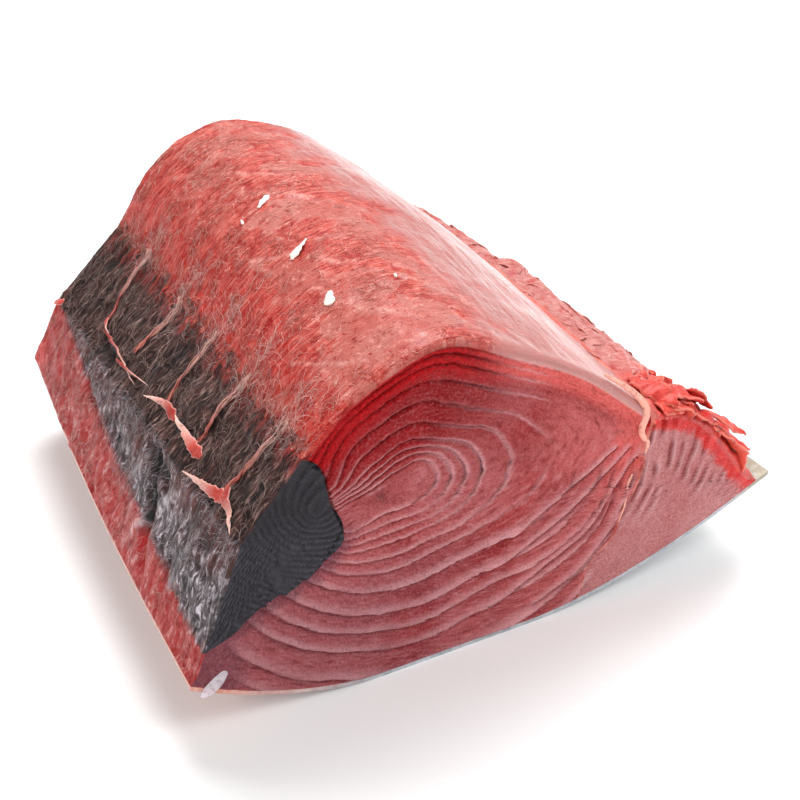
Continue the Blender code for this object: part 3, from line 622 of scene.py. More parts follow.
class Block:
    """The whole loin as one closed fine mesh, with its masks at each point."""

    def __init__(self):
        self.places = station_places()
        shares = self.places / LENGTH
        outlines = [block_outline(share) for share in shares]
        normals = [outward(outline) for outline in outlines]
        self.top = np.array([outline[: TOP_COUNT + 1] for outline in outlines])
        self.out = np.array([normal[: TOP_COUNT + 1] for normal in normals])
        self.make_sides(shares)
        self.points = [self.sides.reshape(-1, 3)]
        self.masks = {name: [values.reshape(-1)] for name, values in self.side_masks.items()}
        self.faces = self.grid_faces()
        self.count = self.sides.shape[0] * self.sides.shape[1]
        rows = self.sides.shape[0]
        columns = self.sides.shape[1]
        front = self.add_under_row(outlines[0], 0)
        back = self.add_under_row(outlines[-1], -1)
        front_rim = np.concatenate((np.arange(columns), front))
        back_rim = np.concatenate(((rows - 1) * columns + np.arange(columns), back))
        self.add_cap(front_rim, 0.0, FRONT_LEVELS, -1)
        self.add_cap(back_rim, 1.0, BACK_LEVELS, 1)
        self.add_underside(front, back, rows, columns)
        self.points = np.concatenate(self.points)
        self.masks = {name: np.concatenate(values) for name, values in self.masks.items()}

    def make_sides(self, shares):
        """Moves the plain loft's points out or in by the relief, and rounds both rims."""
        share = np.broadcast_to(shares[:, None], self.top.shape[:2])
        corner = np.broadcast_to(CORNER[None], self.top.shape[:2])
        x, z = self.top[..., 0], self.top[..., 1]
        y = FRONT_Y + share * LENGTH
        relief, masks = side_looks(x, y, z, share, corner)
        from_end = np.minimum(share, 1 - share) * LENGTH
        softness = np.where(corner >= 2, 1.0, 0.45) * smooth(0.0, 0.06, corner) * smooth(9.0, 8.9, corner)
        ends = smooth(0.0, 0.01, corner) * smooth(9.0, 8.99, corner)
        relief = relief * ends * smooth(-0.4 * MM, 3 * MM, from_end)
        bulge = 0.9 * MM * bump(masks.pop("septum_gap"), 0.045) * smooth(1.0, 0.8, share)
        moved = relief + bulge - rim_inset(from_end, RIM_RADIUS) * softness
        x = x + self.out[..., 0] * moved
        z = z + self.out[..., 1] * moved
        self.sides = np.stack((x, y, z), axis=-1)
        self.side_masks = {name: np.zeros_like(x) for name in MASKS}
        self.side_masks.update(masks)
        self.side_masks["share"] = share

    def grid_faces(self):
        rows, columns = self.sides.shape[:2]
        index = np.arange(rows * columns).reshape(rows, columns)
        quads = np.stack((index[:-1, :-1], index[:-1, 1:], index[1:, 1:], index[1:, :-1]), axis=-1)
        return [tuple(quad) for quad in quads.reshape(-1, 4)]

    def add_points(self, points, masks=None):
        first = self.count
        self.points.append(points)
        self.count += len(points)
        for name in MASKS:
            given = None if masks is None else masks.get(name)
            self.masks[name].append(np.zeros(len(points)) if given is None else given.reshape(-1))
        return np.arange(first, self.count)

    def add_under_row(self, outline, end):
        row = outline[TOP_COUNT + 1 :]
        y = np.full(len(row), FRONT_Y if end == 0 else FRONT_Y + LENGTH)
        return self.add_points(np.stack((row[:, 0], y, row[:, 1]), axis=1))

    def add_cap(self, rim, share, levels, facing):
        """Closes one end with loops of points that shrink from the rim to the rings' eye."""
        edge = np.concatenate(self.points)[rim]
        centre = at_station(EYE, share)
        middle = np.array((centre[0], edge[0, 1], centre[1]))
        shrink = np.linspace(1.0, 0.012, levels + 1)
        loops = middle + (edge - middle) * shrink[:, None, None]
        reach = np.hypot(edge[:, 0] - centre[0], edge[:, 2] - centre[1])
        edge_distance = (1 - shrink)[:, None] * reach[None]
        x, z = loops[..., 0], loops[..., 2]
        relief, masks = end_looks(x, z, edge_distance, share)
        loops[..., 1] += facing * relief
        for name in MASKS:
            if name in masks:
                soft_edge = 0.5 if name == "cut" else 1.0
                self.put(name, rim, soft_edge * masks[name][0])
        around = len(rim)
        rows = [rim]
        for row in range(1, levels + 1):
            rows.append(self.add_points(loops[row], {name: values[row] for name, values in masks.items()}))
        for outer, inner in zip(rows, rows[1:]):
            following = np.roll(np.arange(around), -1)
            quads = np.stack((outer, inner, inner[following], outer[following]), axis=1)
            if facing > 0:
                quads = quads[:, ::-1]
            self.faces.extend(tuple(quad) for quad in quads)
        hub = self.add_points(middle[None], {name: values[-1, :1] for name, values in masks.items()})[0]
        for i in range(around):
            spoke = (rows[-1][i], hub, rows[-1][(i + 1) % around])
            self.faces.append(spoke if facing < 0 else spoke[::-1])

    def put(self, name, indices, values):
        """Raises a mask at points that are already there."""
        if name in ("share", "fine"):
            return
        joined = np.concatenate(self.masks[name])
        joined[indices] = np.maximum(joined[indices], values)
        self.masks[name] = [joined]

    def add_underside(self, front, back, rows, columns):
        """Closes the bottom with a coarse sheet, which the skin hides."""
        left = np.arange(rows) * columns
        right = left + columns - 1
        loop = np.concatenate((right[:1], front, left, back[::-1], right[1:][::-1]))
        known = np.concatenate(self.points)
        edge = known[loop]
        inside = []
        for y in np.linspace(FRONT_Y, FRONT_Y + LENGTH, 12)[1:-1]:
            share = (y - FRONT_Y) / LENGTH
            heel, tip = at_station(HEEL, share), at_station(FIN_TIP, share)
            for x in np.linspace(heel[0], tip[0], 26)[1:-1]:
                inside.append((x, y, underside(x, heel, tip, SKIN_THICKNESS - 0.2 * MM)))
        inner = self.add_points(np.array(inside))
        every = np.concatenate((loop, inner))
        flat = [Vector(place / MM) for place in np.concatenate((edge, inside))[:, :2]]
        ring = list(range(len(loop)))
        made = geometry.delaunay_2d_cdt(flat, [], [ring], 1, 1e-6)
        source = [ids[0] for ids in made[3]]
        for face in made[2]:
            self.faces.append(tuple(every[source[i]] for i in reversed(face)))


def mesh_piece(name, points, faces):
    mesh = bpy.data.meshes.new(name)
    mesh.from_pydata(points, [], faces)
    mesh.update()
    piece = bpy.data.objects.new(name, mesh)
    bpy.context.scene.collection.objects.link(piece)
    return piece


# Walls between the muscles


# A place past the block's sides, where the zones of the muscles close
OUTSIDE = 0.62 * WIDTH


def wall_line(wall, share):
    return curve_through([at_station(corner, share) for corner in wall], 8)


def wavered(line, share, amount, size, seed):
    """A wall's line shifted a little to either side, so that its edge looks grown."""
    place = np.stack((line[:, 0], np.full(len(line), share * LENGTH), line[:, 1]), axis=1)
    line = line.copy()
    line[:, 0] += amount * clay_layers(place, size, seed, 2)
    line[:, 1] += amount * clay_layers(place, size, seed + 5, 2)
    return line


def dark_section(share):
    line = wall_line(DARK_WALL, share)
    line = wavered(line, share, 1.5 * MM, 9 * MM, 31)
    line[:, 0] += (1.6 * math.sin(35 * share) + math.sin(17 * share + 1)) * MM * smooth(0, 0.1, share)
    return closed_past(line, -OUTSIDE)


def septum_sides(share):
    line = wavered(wall_line(SEPTUM_LINE, share), share, 0.9 * MM, 8 * MM, 41)
    along = np.gradient(line, axis=0)
    side = np.stack((along[:, 1], -along[:, 0]), axis=1)
    side /= np.linalg.norm(side, axis=1)[:, None]
    half = np.linspace(SEPTUM_TOP_HALF, SEPTUM_FOOT_HALF, len(line))[:, None]
    half = half * smooth(-0.15, 0.12, share + 0.3 * math.sin(9 * share))
    return line - side * half, line + side * half


def septum_section(share):
    first, second = septum_sides(share)
    return np.array([*first, *second[::-1]])


def closed_past(line, across):
    """A section from a wall's line to a place outside the block."""
    return np.array([*line, (across, line[-1][1]), (across, line[0][1])])


def fin_section(share):
    return closed_past(septum_sides(share)[0], OUTSIDE)


def past_loin_section(share):
    return closed_past(septum_sides(share)[1], OUTSIDE)


def loft_faces(rows, around):
    """Quads between rows of points that each go once around."""
    faces = []
    for near in range(0, (rows - 1) * around, around):
        far = near + around
        for i in range(around):
            j = (i + 1) % around
            faces.append((near + i, near + j, far + j, far + i))
    return faces


def cutter(name, section, stations=70):
    """A closed loft of a section, carried past both ends of the block."""
    past = 6 * MM
    loops = []
    for place in np.linspace(-past, LENGTH + past, stations):
        flat = section(place / LENGTH)
        loops.append(np.column_stack((flat[:, 0], np.full(len(flat), FRONT_Y + place), flat[:, 1])))
    faces = loft_faces(stations, len(loops[0]))
    for end in (0, stations - 1):
        flat = [Vector((place[0], place[2], 0)) for place in loops[end]]
        for triangle in geometry.tessellate_polygon([flat]):
            faces.append(tuple(end * len(flat) + i for i in triangle))
    made = mesh_piece(name, np.concatenate(loops), faces)
    outward_faces(made)
    return made


def outward_faces(piece):
    """Turns all faces of a closed mesh the same way, outwards."""
    bm = bmesh.new()
    bm.from_mesh(piece.data)
    bmesh.ops.triangulate(bm, faces=bm.faces[:])
    bmesh.ops.recalc_face_normals(bm, faces=bm.faces[:])
    bm.to_mesh(piece.data)
    bm.free()


def cut_piece(name, source, steps):
    """A copy of the block with Boolean steps of (operation, cutter) applied."""
    piece = bpy.data.objects.new(name, source.data.copy())
    bpy.context.scene.collection.objects.link(piece)
    for operation, tool in steps:
        modifier = piece.modifiers.new(operation.lower(), "BOOLEAN")
        modifier.operation = operation
        modifier.object = tool
        modifier.solver = "MANIFOLD"
    graph = bpy.context.evaluated_depsgraph_get()
    piece.data = bpy.data.meshes.new_from_object(piece.evaluated_get(graph))
    piece.modifiers.clear()
    piece.data.name = name
    return piece


def store(piece, name, values):
    """Keeps a value at each of a piece's points, for its finish to read."""
    layer = piece.data.attributes.new(name, "FLOAT", "POINT")
    layer.data.foreach_set("value", values.astype(np.float32))


def give_masks(piece, tree, masks, names):
    """Stores the masks that a piece's finish reads, from the block's nearest points."""
    count = len(piece.data.vertices)
    places = np.empty(count * 3)
    piece.data.vertices.foreach_get("co", places)
    nearest = np.array([tree.find(place)[1] for place in places.reshape(-1, 3)])
    for name in names:
        store(piece, name, masks[name][nearest])


def soften(piece, angle=62):
    piece.data.shade_smooth()
    piece.data.set_sharp_from_angle(angle=math.radians(angle))


# Finishes


def tone(red, green, blue):
    """A colour as the eye sees it, 0 to 255, turned into the light it stands for."""
    shares = [value / 255 for value in (red, green, blue)]
    linear = [s / 12.92 if s <= 0.04045 else ((s + 0.055) / 1.055) ** 2.4 for s in shares]
    return (*linear, 1.0)


class Wire:
    """A socket in a material, on which plain sums add the Math nodes."""

    def __init__(self, finish, socket):
        self.finish = finish
        self.socket = socket

    def sum(self, operation, *operands):
        return self.finish.node("ShaderNodeMath", {"operation": operation}, dict(enumerate(operands)))

    def __add__(self, other):
        return self.sum("ADD", self, other)

    def __radd__(self, other):
        return self.sum("ADD", other, self)

    def __sub__(self, other):
        return self.sum("SUBTRACT", self, other)

    def __rsub__(self, other):
        return self.sum("SUBTRACT", other, self)

    def __mul__(self, other):
        return self.sum("MULTIPLY", self, other)

    def __rmul__(self, other):
        return self.sum("MULTIPLY", other, self)

    def within(self, low, high):
        """0 at low and 1 at high, held between."""
        sockets = {"Value": self, "From Min": low, "From Max": high}
        return self.finish.node("ShaderNodeMapRange", {"clamp": True}, sockets)


class Finish:
    """A material with one shader, whose nodes are added by node()."""

    def __init__(self, name, **constants):
        self.material = bpy.data.materials.new(name)
        self.material.use_nodes = True
        self.tree = self.material.node_tree
        self.shader = self.tree.nodes["Principled BSDF"]
        for socket, value in constants.items():
            self.shader.inputs[socket.replace("_", " ")].default_value = value
        self.coords = self.node("ShaderNodeTexCoord", {}, {}, "Object")
        self.reads = {}

    def node(self, kind, settings, sockets, out=0):
        made = self.tree.nodes.new(kind)
        for name, value in settings.items():
            setattr(made, name, value)
        for key, value in sockets.items():
            if isinstance(value, Wire):
                self.tree.links.new(value.socket, made.inputs[key])
            else:
                made.inputs[key].default_value = value
        return Wire(self, made.outputs[out])

    def mask(self, name):
        """One of the values that are kept at a piece's points."""
        if name not in self.reads:
            self.reads[name] = self.node("ShaderNodeAttribute", {"attribute_name": name}, {}, "Fac")
        return self.reads[name]

    def noise(self, size, detail=2.0, roughness=0.55, stretch=None, distortion=0.0):
        where = self.coords
        if stretch:
            where = self.node("ShaderNodeVectorMath", {"operation": "MULTIPLY"}, {0: where, 1: stretch})
        sockets = {
            "Vector": where, "Scale": 1 / size, "Detail": detail, "Roughness": roughness,
            "Distortion": distortion,
        }
        return self.node("ShaderNodeTexNoise", {}, sockets)

    def fibres(self, size, run):
        """Fine streaks that run over the top ("over") or along the fish ("along")."""
        stretch = {"over": (0.15, 1.0, 0.15), "along": (1.0, 0.06, 1.0)}[run]
        return self.noise(size, 3.0, 0.6, stretch, 0.6)

    def mix(self, factor, under, over):
        settings = {"data_type": "RGBA", "clamp_factor": True}
        return self.node("ShaderNodeMix", settings, {0: factor, 6: under, 7: over}, 2)

    def layered(self, under, *layers):
        """Colours laid over one another, each by its own factor."""
        for factor, over in layers:
            under = self.mix(factor, under, over)
        return under

    def feed(self, socket, wire):
        self.tree.links.new(wire.socket, self.shader.inputs[socket])

    def bumps(self, height, distance, strength=0.6):
        sockets = {"Strength": strength, "Distance": distance, "Height": height}
        self.feed("Normal", self.node("ShaderNodeBump", {}, sockets))


def crinkles(look):
    """Fine wrinkles of the heel side, a little longer over it than along it."""
    return look.noise(1.8 * MM, 4.0, 0.65, (0.5, 1.0, 0.5), 0.8)


def red_heel_colour(look, mottle, crinkle):
    """The heel side's lower strip, mottled red, with painted highlights on its crinkles and painted shade
    between them.
    """
    return look.layered(
        look.mix(mottle.within(0.32, 0.68), tone(158, 48, 46), tone(182, 86, 82)),
        # Painted highlight on the crinkles' tops, and painted shade between them
        (crinkle.within(0.52, 0.66) * 0.65, tone(222, 176, 174)),
        (crinkle.within(0.46, 0.34) * 0.80, tone(112, 14, 16)),
        (look.mask("vein") * 0.6, tone(232, 196, 196)),
        # Painted shade in the creases
        (look.mask("shaded_crease") * 0.6, tone(150, 8, 12)),
        (look.mask("far_rim") * mottle.within(0.30, 0.60) * 0.75, tone(204, 44, 38)),
    )


def red_flesh_finish():
    look = Finish(
        "wet red flesh", Specular_IOR_Level=0.22, Specular_Tint=(1.0, 0.3, 0.3, 1.0), Subsurface_Weight=0.08,
        Subsurface_Scale=0.003, Coat_Roughness=0.25,
    )
    speck = look.noise(0.45 * MM, 3.0)
    mottle = look.noise(5 * MM, 3.0, 0.6)
    patch = look.noise(16 * MM, 2.0)
    texture = look.noise(0.7 * MM, 4.0, 0.6)
    grain, fleck = look.mask("grain"), look.mask("fleck")

    # The cut
    part = look.node("ShaderNodeMath", {"operation": "FRACT"}, {0: look.mask("rings")})
    # The far cut's rings: painted shade in each groove and painted highlight on each lip
    far_groove_shade = look.mask("far_lines") * part.within(0.76, 0.92) * part.within(1.0, 0.96)
    far_lip_highlight = look.mask("far_lines") * part.within(0.40, 0.72) * part.within(0.90, 0.78)
    upper = look.mix(patch.within(0.35, 0.65), tone(126, 6, 12), tone(146, 20, 25))
    lower = look.mix(patch.within(0.35, 0.65), tone(144, 46, 48), tone(166, 62, 62))
    rim_red = look.mix(fleck.within(0.3, 0.7), tone(142, 1, 8), tone(186, 12, 20))
    cut = look.layered(
        upper,
        (look.mask("low"), lower),
        # Greyish mauve, partly a painted sheen
        (look.mask("mauve_and_sheen") * 0.66, tone(186, 106, 108)),
        (look.mask("eye") * 0.60, tone(180, 98, 100)),
        (look.mask("salmon") * 0.85, tone(226, 98, 92)),
        (grain.within(0.54, 0.74) * (0.15 + 0.30 * look.mask("low")), tone(206, 138, 142)),
        (grain.within(0.46, 0.24) * 0.60, tone(112, 10, 16)),
        # Painted highlight on the rings' lips
        (look.mask("lip") * 0.85 + far_lip_highlight * 0.45, tone(224, 168, 172)),
        (look.mask("blood"), rim_red),
        # Painted shade in the rings' grooves and folds
        (look.mask("groove_shade") * 0.92 + far_groove_shade * 0.75, tone(98, 2, 8)),
        (look.mask("dark") * 0.75, tone(84, 48, 62)),
        (look.mask("pale") * 0.9, tone(240, 204, 196)),
        (texture.within(0.50, 0.68) * (0.20 - 0.16 * look.mask("blood")), tone(222, 140, 142)),
        (texture.within(0.50, 0.34) * 0.28, tone(96, 4, 10)),
    )

    # The outside
    over, along = look.fibres(0.9 * MM, "over"), look.fibres(1.0 * MM, "along")
    crinkle = crinkles(look)
    spot = look.noise(2.2 * MM, 4.0, 0.75)
    covered = look.mask("film")
    film = look.mix(patch.within(0.4, 0.6), tone(174, 88, 78), tone(182, 114, 104))
    film_edge = covered.within(0.25, 0.50) * covered.within(0.80, 0.55) * over.within(0.46, 0.58)
    inner = look.mask("share").within(0.010, 0.035)
    # The shoulder's painted sheen, in streaks along the fish
    streak = along.within(0.42, 0.62) * look.mask("pale") * inner
    side = look.layered(
        look.mix(mottle.within(0.35, 0.66), tone(166, 30, 26), tone(194, 64, 54)),
        (look.mask("crown") * 0.60, tone(188, 92, 80)),
        (over.within(0.52, 0.66) * 0.45, tone(212, 144, 132)),
        (over.within(0.48, 0.35) * 0.85, tone(124, 8, 10)),
        (look.mask("pits") * 0.65, tone(140, 14, 16)),
        (covered * 0.72, film),
        (film_edge * 0.35, tone(222, 172, 162)),
        (look.mask("vein") * 0.60, tone(226, 168, 158)),
        (spot.within(0.57, 0.63) * (0.85 - 0.65 * look.mask("shoulder")), tone(140, 8, 10)),
        (spot.within(0.41, 0.33) * 0.50, tone(236, 176, 164)),
        (speck.within(0.56, 0.72) * 0.35, tone(234, 178, 168)),
        (speck.within(0.44, 0.30) * 0.45, tone(128, 10, 12)),
        (look.mask("shoulder") * 0.80, tone(176, 112, 106)),
        # Painted sheen on the shoulder through the pale mask, which on the cut is the septum's own pale
        # streak
        (streak * 0.50 + look.mask("pale") * 0.34, tone(204, 180, 178)),
        (along.within(0.47, 0.36) * look.mask("shoulder") * inner * 0.40, tone(166, 78, 72)),
        (look.mask("edge") * over.within(0.60, 0.42) * 0.9, tone(66, 26, 22)),
        (look.mask("heel"), red_heel_colour(look, mottle, crinkle)),
    )

    look.feed("Base Color", look.mix(look.mask("cut"), side, cut))
    look.feed("Roughness", 0.34 + 0.22 * mottle + 0.14 * look.mask("cut"))
    look.feed("Coat Weight", 0.03 + 0.22 * covered + 0.62 * look.mask("shoulder"))
    fibrous = (over * 0.75 + speck * 0.25) * (1.0 - look.mask("heel")) + crinkle * 1.2 * look.mask("heel")
    side_bump = fibrous * (1.0 - look.mask("cut"))
    cut_bump = texture * 0.8 + speck * 0.2 + far_lip_highlight * 0.7 - far_groove_shade * 0.9
    look.bumps(side_bump + cut_bump * look.mask("cut"), 0.85 * MM, 1.0)
    return look


def dark_muscle_finish():
    look = Finish(
        "dark muscle", Specular_IOR_Level=0.25, Coat_Roughness=0.3, Coat_Weight=0.08, Subsurface_Weight=0.03,
        Subsurface_Scale=0.002,
    )
    speck = look.noise(0.5 * MM, 3.0)
    mottle = look.noise(6 * MM, 3.0, 0.6)
    over = look.fibres(0.75 * MM, "over")
    crinkle = crinkles(look)

    cut = look.layered(
        look.mix(mottle.within(0.35, 0.65), tone(16, 13, 18), tone(32, 28, 35)),
        # Painted sheen on the nested lines' lips and painted shade at their feet
        (look.mask("sheen") * 0.55, tone(110, 106, 122)),
        (look.mask("shaded_crack") * 0.9, tone(5, 4, 6)),
        (speck.within(0.56, 0.72) * 0.15, tone(130, 122, 132)),
    )
    band = look.layered(
        look.mix(mottle.within(0.35, 0.65), tone(34, 14, 12), tone(84, 44, 38)),
        # Painted shade between the strands, painted highlight on the fibres and painted shade in their gaps
        (look.mask("strand").within(0.48, 0.28) * 0.65, tone(14, 5, 5)),
        (over.within(0.54, 0.65) * 0.75, tone(172, 138, 130)),
        (over.within(0.49, 0.39) * 0.90, tone(8, 2, 2)),
        (look.mask("edge") * over.within(0.40, 0.58) * 0.9, tone(156, 40, 34)),
    )
    heel = look.layered(
        look.mix(mottle.within(0.38, 0.62), tone(52, 34, 34), tone(104, 90, 96)),
        # Painted highlight on the crinkles' tops, and painted shade between them
        (crinkle.within(0.51, 0.63) * 0.88, tone(226, 216, 224)),
        (crinkle.within(0.47, 0.38) * 0.95, tone(18, 7, 7)),
        (over.within(0.54, 0.66) * 0.45, tone(186, 172, 178)),
        (look.mask("fine").within(0.46, 0.24) * 0.60, tone(20, 10, 11)),
        (look.mask("brown") * over.within(0.62, 0.50) * 0.85, tone(92, 38, 32)),
        (look.mask("red_heel"), red_heel_colour(look, mottle, crinkle)),
        (look.mask("vein") * 0.6, tone(222, 212, 216)),
    )
    side = look.layered(
        band,
        (look.mask("heel"), heel),
        # Painted shade in the creases, weaker on the red strip
        (look.mask("shaded_crease") * (1.0 - 0.7 * look.mask("red_heel")), tone(10, 3, 3)),
    )

    look.feed("Base Color", look.mix(look.mask("cut"), side, cut))
    look.feed("Roughness", 0.36 + 0.25 * mottle)
    fibrous = (over * 0.7 + speck * 0.3) * (1.0 - look.mask("heel"))
    look.bumps(fibrous + (crinkle * 0.8 + over * 0.2) * look.mask("heel"), 1.3 * MM, 1.0)
    return look


def septum_finish():
    look = Finish(
        "cream septum", Specular_IOR_Level=0.3, Coat_Roughness=0.2, Subsurface_Weight=0.15,
        Subsurface_Scale=0.003,
    )
    mottle = look.noise(4 * MM, 3.0, 0.6)
    height = look.node("ShaderNodeSeparateXYZ", {}, {0: look.coords}, "Z")
    cream = look.mix(mottle.within(0.35, 0.65), tone(186, 80, 72), tone(214, 118, 104))
    flesh = look.mix(mottle.within(0.40, 0.60), tone(168, 66, 62), tone(206, 120, 112))
    look.feed("Base Color", look.mix(height.within(30 * MM, 50 * MM), flesh, cream))
    look.feed("Roughness", 0.32 + 0.2 * mottle)
    look.bumps(look.noise(0.8 * MM, 3.0), 0.3 * MM, 0.6)
    return look


def fin_flesh_finish():
    look = Finish(
        "torn fin flesh", Specular_IOR_Level=0.25, Specular_Tint=(1.0, 0.4, 0.4, 1.0), Coat_Roughness=0.15,
        Subsurface_Weight=0.10, Subsurface_Scale=0.003,
    )
    speck = look.noise(0.45 * MM, 3.0)
    mottle = look.noise(5 * MM, 3.0, 0.6)
    patch = look.noise(14 * MM, 2.0)
    texture = look.noise(0.8 * MM, 4.0, 0.6)
    over = look.fibres(1.1 * MM, "over")
    torn_cut = look.mix(mottle.within(0.4, 0.6), tone(200, 10, 12), tone(222, 46, 40))
    cut = look.layered(
        look.mix(patch.within(0.35, 0.65), tone(174, 96, 97), tone(186, 118, 118)),
        (look.mask("grain").within(0.52, 0.74) * 0.2, tone(206, 146, 148)),
        (texture.within(0.52, 0.68) * 0.45, tone(214, 156, 156)),
        (texture.within(0.47, 0.34) * 0.45, tone(138, 34, 40)),
        # The slanting stripes: painted highlight on the raised ones and painted shade on the sunk ones
        (look.mask("lip") * 0.85, tone(226, 176, 178)),
        (look.mask("groove_shade") * 0.95, tone(120, 4, 10)),
        (look.mask("blood") * 0.90, torn_cut),
    )
    torn = look.mix(mottle.within(0.4, 0.6), tone(196, 18, 20), tone(222, 66, 50))
    side = look.layered(
        look.mix(mottle.within(0.32, 0.68), tone(178, 96, 90), tone(194, 134, 128)),
        (over.within(0.52, 0.66) * 0.40, tone(220, 166, 158)),
        (over.within(0.46, 0.34) * 0.50, tone(156, 40, 38)),
        (look.mask("front_torn") * 0.9, torn),
        (look.mask("fine").within(0.42, 0.20) * 0.5, tone(176, 44, 40)),
    )
    colour = look.layered(
        side,
        (look.mask("cut"), cut),
        (speck.within(0.56, 0.70) * 0.22, tone(236, 190, 184)),
        (speck.within(0.44, 0.30) * 0.30, tone(118, 16, 20)),
    )
    look.feed("Base Color", colour)
    look.feed("Roughness", 0.30 + 0.22 * mottle)
    look.feed("Coat Weight", 0.08 + 0.4 * look.mask("front_torn"))
    look.bumps(texture * 0.7 + speck * 0.3, 0.8 * MM, 1.0)
    return look


def skin_finish():
    look = Finish("silver skin", Specular_IOR_Level=0.5, Coat_Roughness=0.12, Coat_Weight=0.3)
    mottle = look.noise(7 * MM, 4.0, 0.6)
    scale = look.noise(1.4 * MM, 2.0, 0.5, (1.0, 0.6, 1.0))
    along = look.node("ShaderNodeSeparateXYZ", {}, {0: look.coords}, "X")
    silver = look.mix(mottle.within(0.3, 0.7), tone(132, 138, 148), tone(190, 194, 202))
    colour = look.mix(along.within(0.42 * WIDTH, 0.49 * WIDTH) * 0.85, silver, tone(142, 128, 92))
    colour = look.mix(along.within(-0.20 * WIDTH, -0.46 * WIDTH) * 0.8, colour, tone(214, 128, 96))
    look.feed("Base Color", look.mix(scale.within(0.4, 0.7) * 0.25, colour, tone(222, 222, 218)))
    look.feed("Roughness", 0.28 + 0.2 * mottle)
    look.bumps(scale, 0.2 * MM, 0.4)
    return look


# Building the pieces


def make_flesh(block):
    """Parts the block into its four muscles and walls."""
    whole = mesh_piece("block", block.points, block.faces)
    dark = cutter("dark zone", dark_section)
    septum = cutter("septum zone", septum_section)
    fin = cutter("fin zone", fin_section)
    past_loin = cutter("past loin zone", past_loin_section)
    pieces = {
        "red_loin": cut_piece("red_flesh", whole, [("DIFFERENCE", dark), ("DIFFERENCE", past_loin)]),
        "bloodline": cut_piece("dark_muscle", whole, [("INTERSECT", dark)]),
        "cream_septum": cut_piece("septum_wall", whole, [("INTERSECT", septum)]),
        "fin_muscle": cut_piece("fin_flesh", whole, [("INTERSECT", fin)]),
    }
    for tool in (whole, dark, septum, fin, past_loin):
        bpy.data.objects.remove(tool)
    tree = kdtree.KDTree(len(block.points))
    for index, place in enumerate(block.points):
        tree.insert(place, index)
    tree.balance()
    finishes = {
        "red_loin": red_flesh_finish(), "bloodline": dark_muscle_finish(),
        "cream_septum": septum_finish(), "fin_muscle": fin_flesh_finish(),
    }
    for node, piece in pieces.items():
        give_masks(piece, tree, block.masks, finishes[node].reads)
        soften(piece)
        piece.data.materials.clear()
        piece.data.materials.append(finishes[node].material)
        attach(piece, "root")
        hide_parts(node)


def make_skin():
    """A thin curved sheet under the flesh, with a lip past the fin edge."""
    rows, columns = 40, 120
    loops = []
    for place in np.linspace(0.0, LENGTH, rows):
        share = place / LENGTH
        heel, tip = at_station(HEEL, share), at_station(FIN_TIP, share)
        lip = tip[0] + SKIN_LIP * WIDTH
        across = np.linspace(lip, heel[0], columns)
        outer = [(x, FRONT_Y + place, underside(x, heel, tip, 0.0)) for x in across]
        inner = [(x, FRONT_Y + place, underside(x, heel, tip, SKIN_THICKNESS)) for x in across[::-1]]
        loops.append(outer + inner)
    around = 2 * columns
    faces = loft_faces(rows, around)
    for base, turn in ((0, -1), ((rows - 1) * around, 1)):
        for i in range(columns - 1):
            quad = (base + i, base + i + 1, base + around - 2 - i, base + around - 1 - i)
            faces.append(quad[::turn])
    piece = mesh_piece("skin_sheet", np.concatenate(loops), faces)
    outward_faces(piece)
    soften(piece, 50)
    piece.data.materials.append(skin_finish().material)
    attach(piece, "root")
    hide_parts("skin")


# Fibres, cords, tags and scraps that lie on the block

# Sinew cords across the dark band, from the ridge to the red flesh: (share of the length,
# corner number) at both ends and the middle
CORDS = (
    ((0.765, 1.28), (0.780, 1.65), (0.795, 2.16)),
    ((0.590, 1.36), (0.580, 1.62), (0.575, 2.05)),
    ((0.395, 1.27), (0.402, 1.62), (0.400, 2.16)),
    ((0.250, 1.30), (0.250, 1.62), (0.240, 2.15)),
    ((0.105, 1.25), (0.090, 1.60), (0.075, 2.17)),
)
# Tags of pink sinew along the ridge: (share, corner, height), with the widest width in millimetres
RIDGE_TAGS = (
    (((0.775, 1.33, 0.3), (0.752, 1.27, 1.0), (0.730, 1.22, 0.3)), 2.2),
    (((0.755, 1.22, 0.3), (0.645, 1.23, 0.8), (0.520, 1.15, 0.3)), 1.2),
    (((0.640, 1.16, 0.2), (0.560, 1.20, 0.7), (0.470, 1.27, 0.3)), 1.1),
    (((0.340, 1.27, 0.2), (0.395, 1.29, 1.4), (0.455, 1.19, 0.6)), 3.6),
    (((0.218, 1.24, 0.2), (0.262, 1.27, 1.6), (0.318, 1.34, 3.2)), 5.0),
    (((0.088, 1.20, 0.2), (0.140, 1.13, 1.6), (0.212, 1.06, 2.8)), 4.8),
    (((0.112, 1.29, 0.3), (0.064, 1.19, 1.4), (0.026, 1.03, 0.6)), 3.4),
    (((0.960, 1.06, 0.2), (0.978, 1.00, 1.2), (0.993, 0.94, 0.6)), 3.0),
)
# Torn scraps at the front of the fin's top, written like the tags
FIN_SCRAPS = (
    (((0.090, 7.22, 0.2), (0.050, 7.32, 2.6), (0.004, 7.46, 3.0)), 8.0),
    (((0.055, 7.50, 0.2), (0.028, 7.70, 4.4), (0.006, 7.90, 5.2)), 8.5),
    (((0.085, 7.78, 0.2), (0.050, 7.95, 4.6), (0.012, 8.10, 4.0)), 8.5),
    (((0.050, 8.00, 0.2), (0.022, 8.25, 3.2), (0.004, 8.55, 6.4)), 5.6),
    (((0.085, 8.35, 0.2), (0.045, 8.55, 3.0), (0.014, 8.76, 3.0)), 7.5),
    (((0.020, 7.55, -0.5), (0.006, 7.62, 1.2), (0.000, 7.80, 0.4)), 6.5),
    (((0.030, 8.45, 0.0), (0.010, 8.60, 1.8), (0.000, 8.80, 1.0)), 6.0),
)
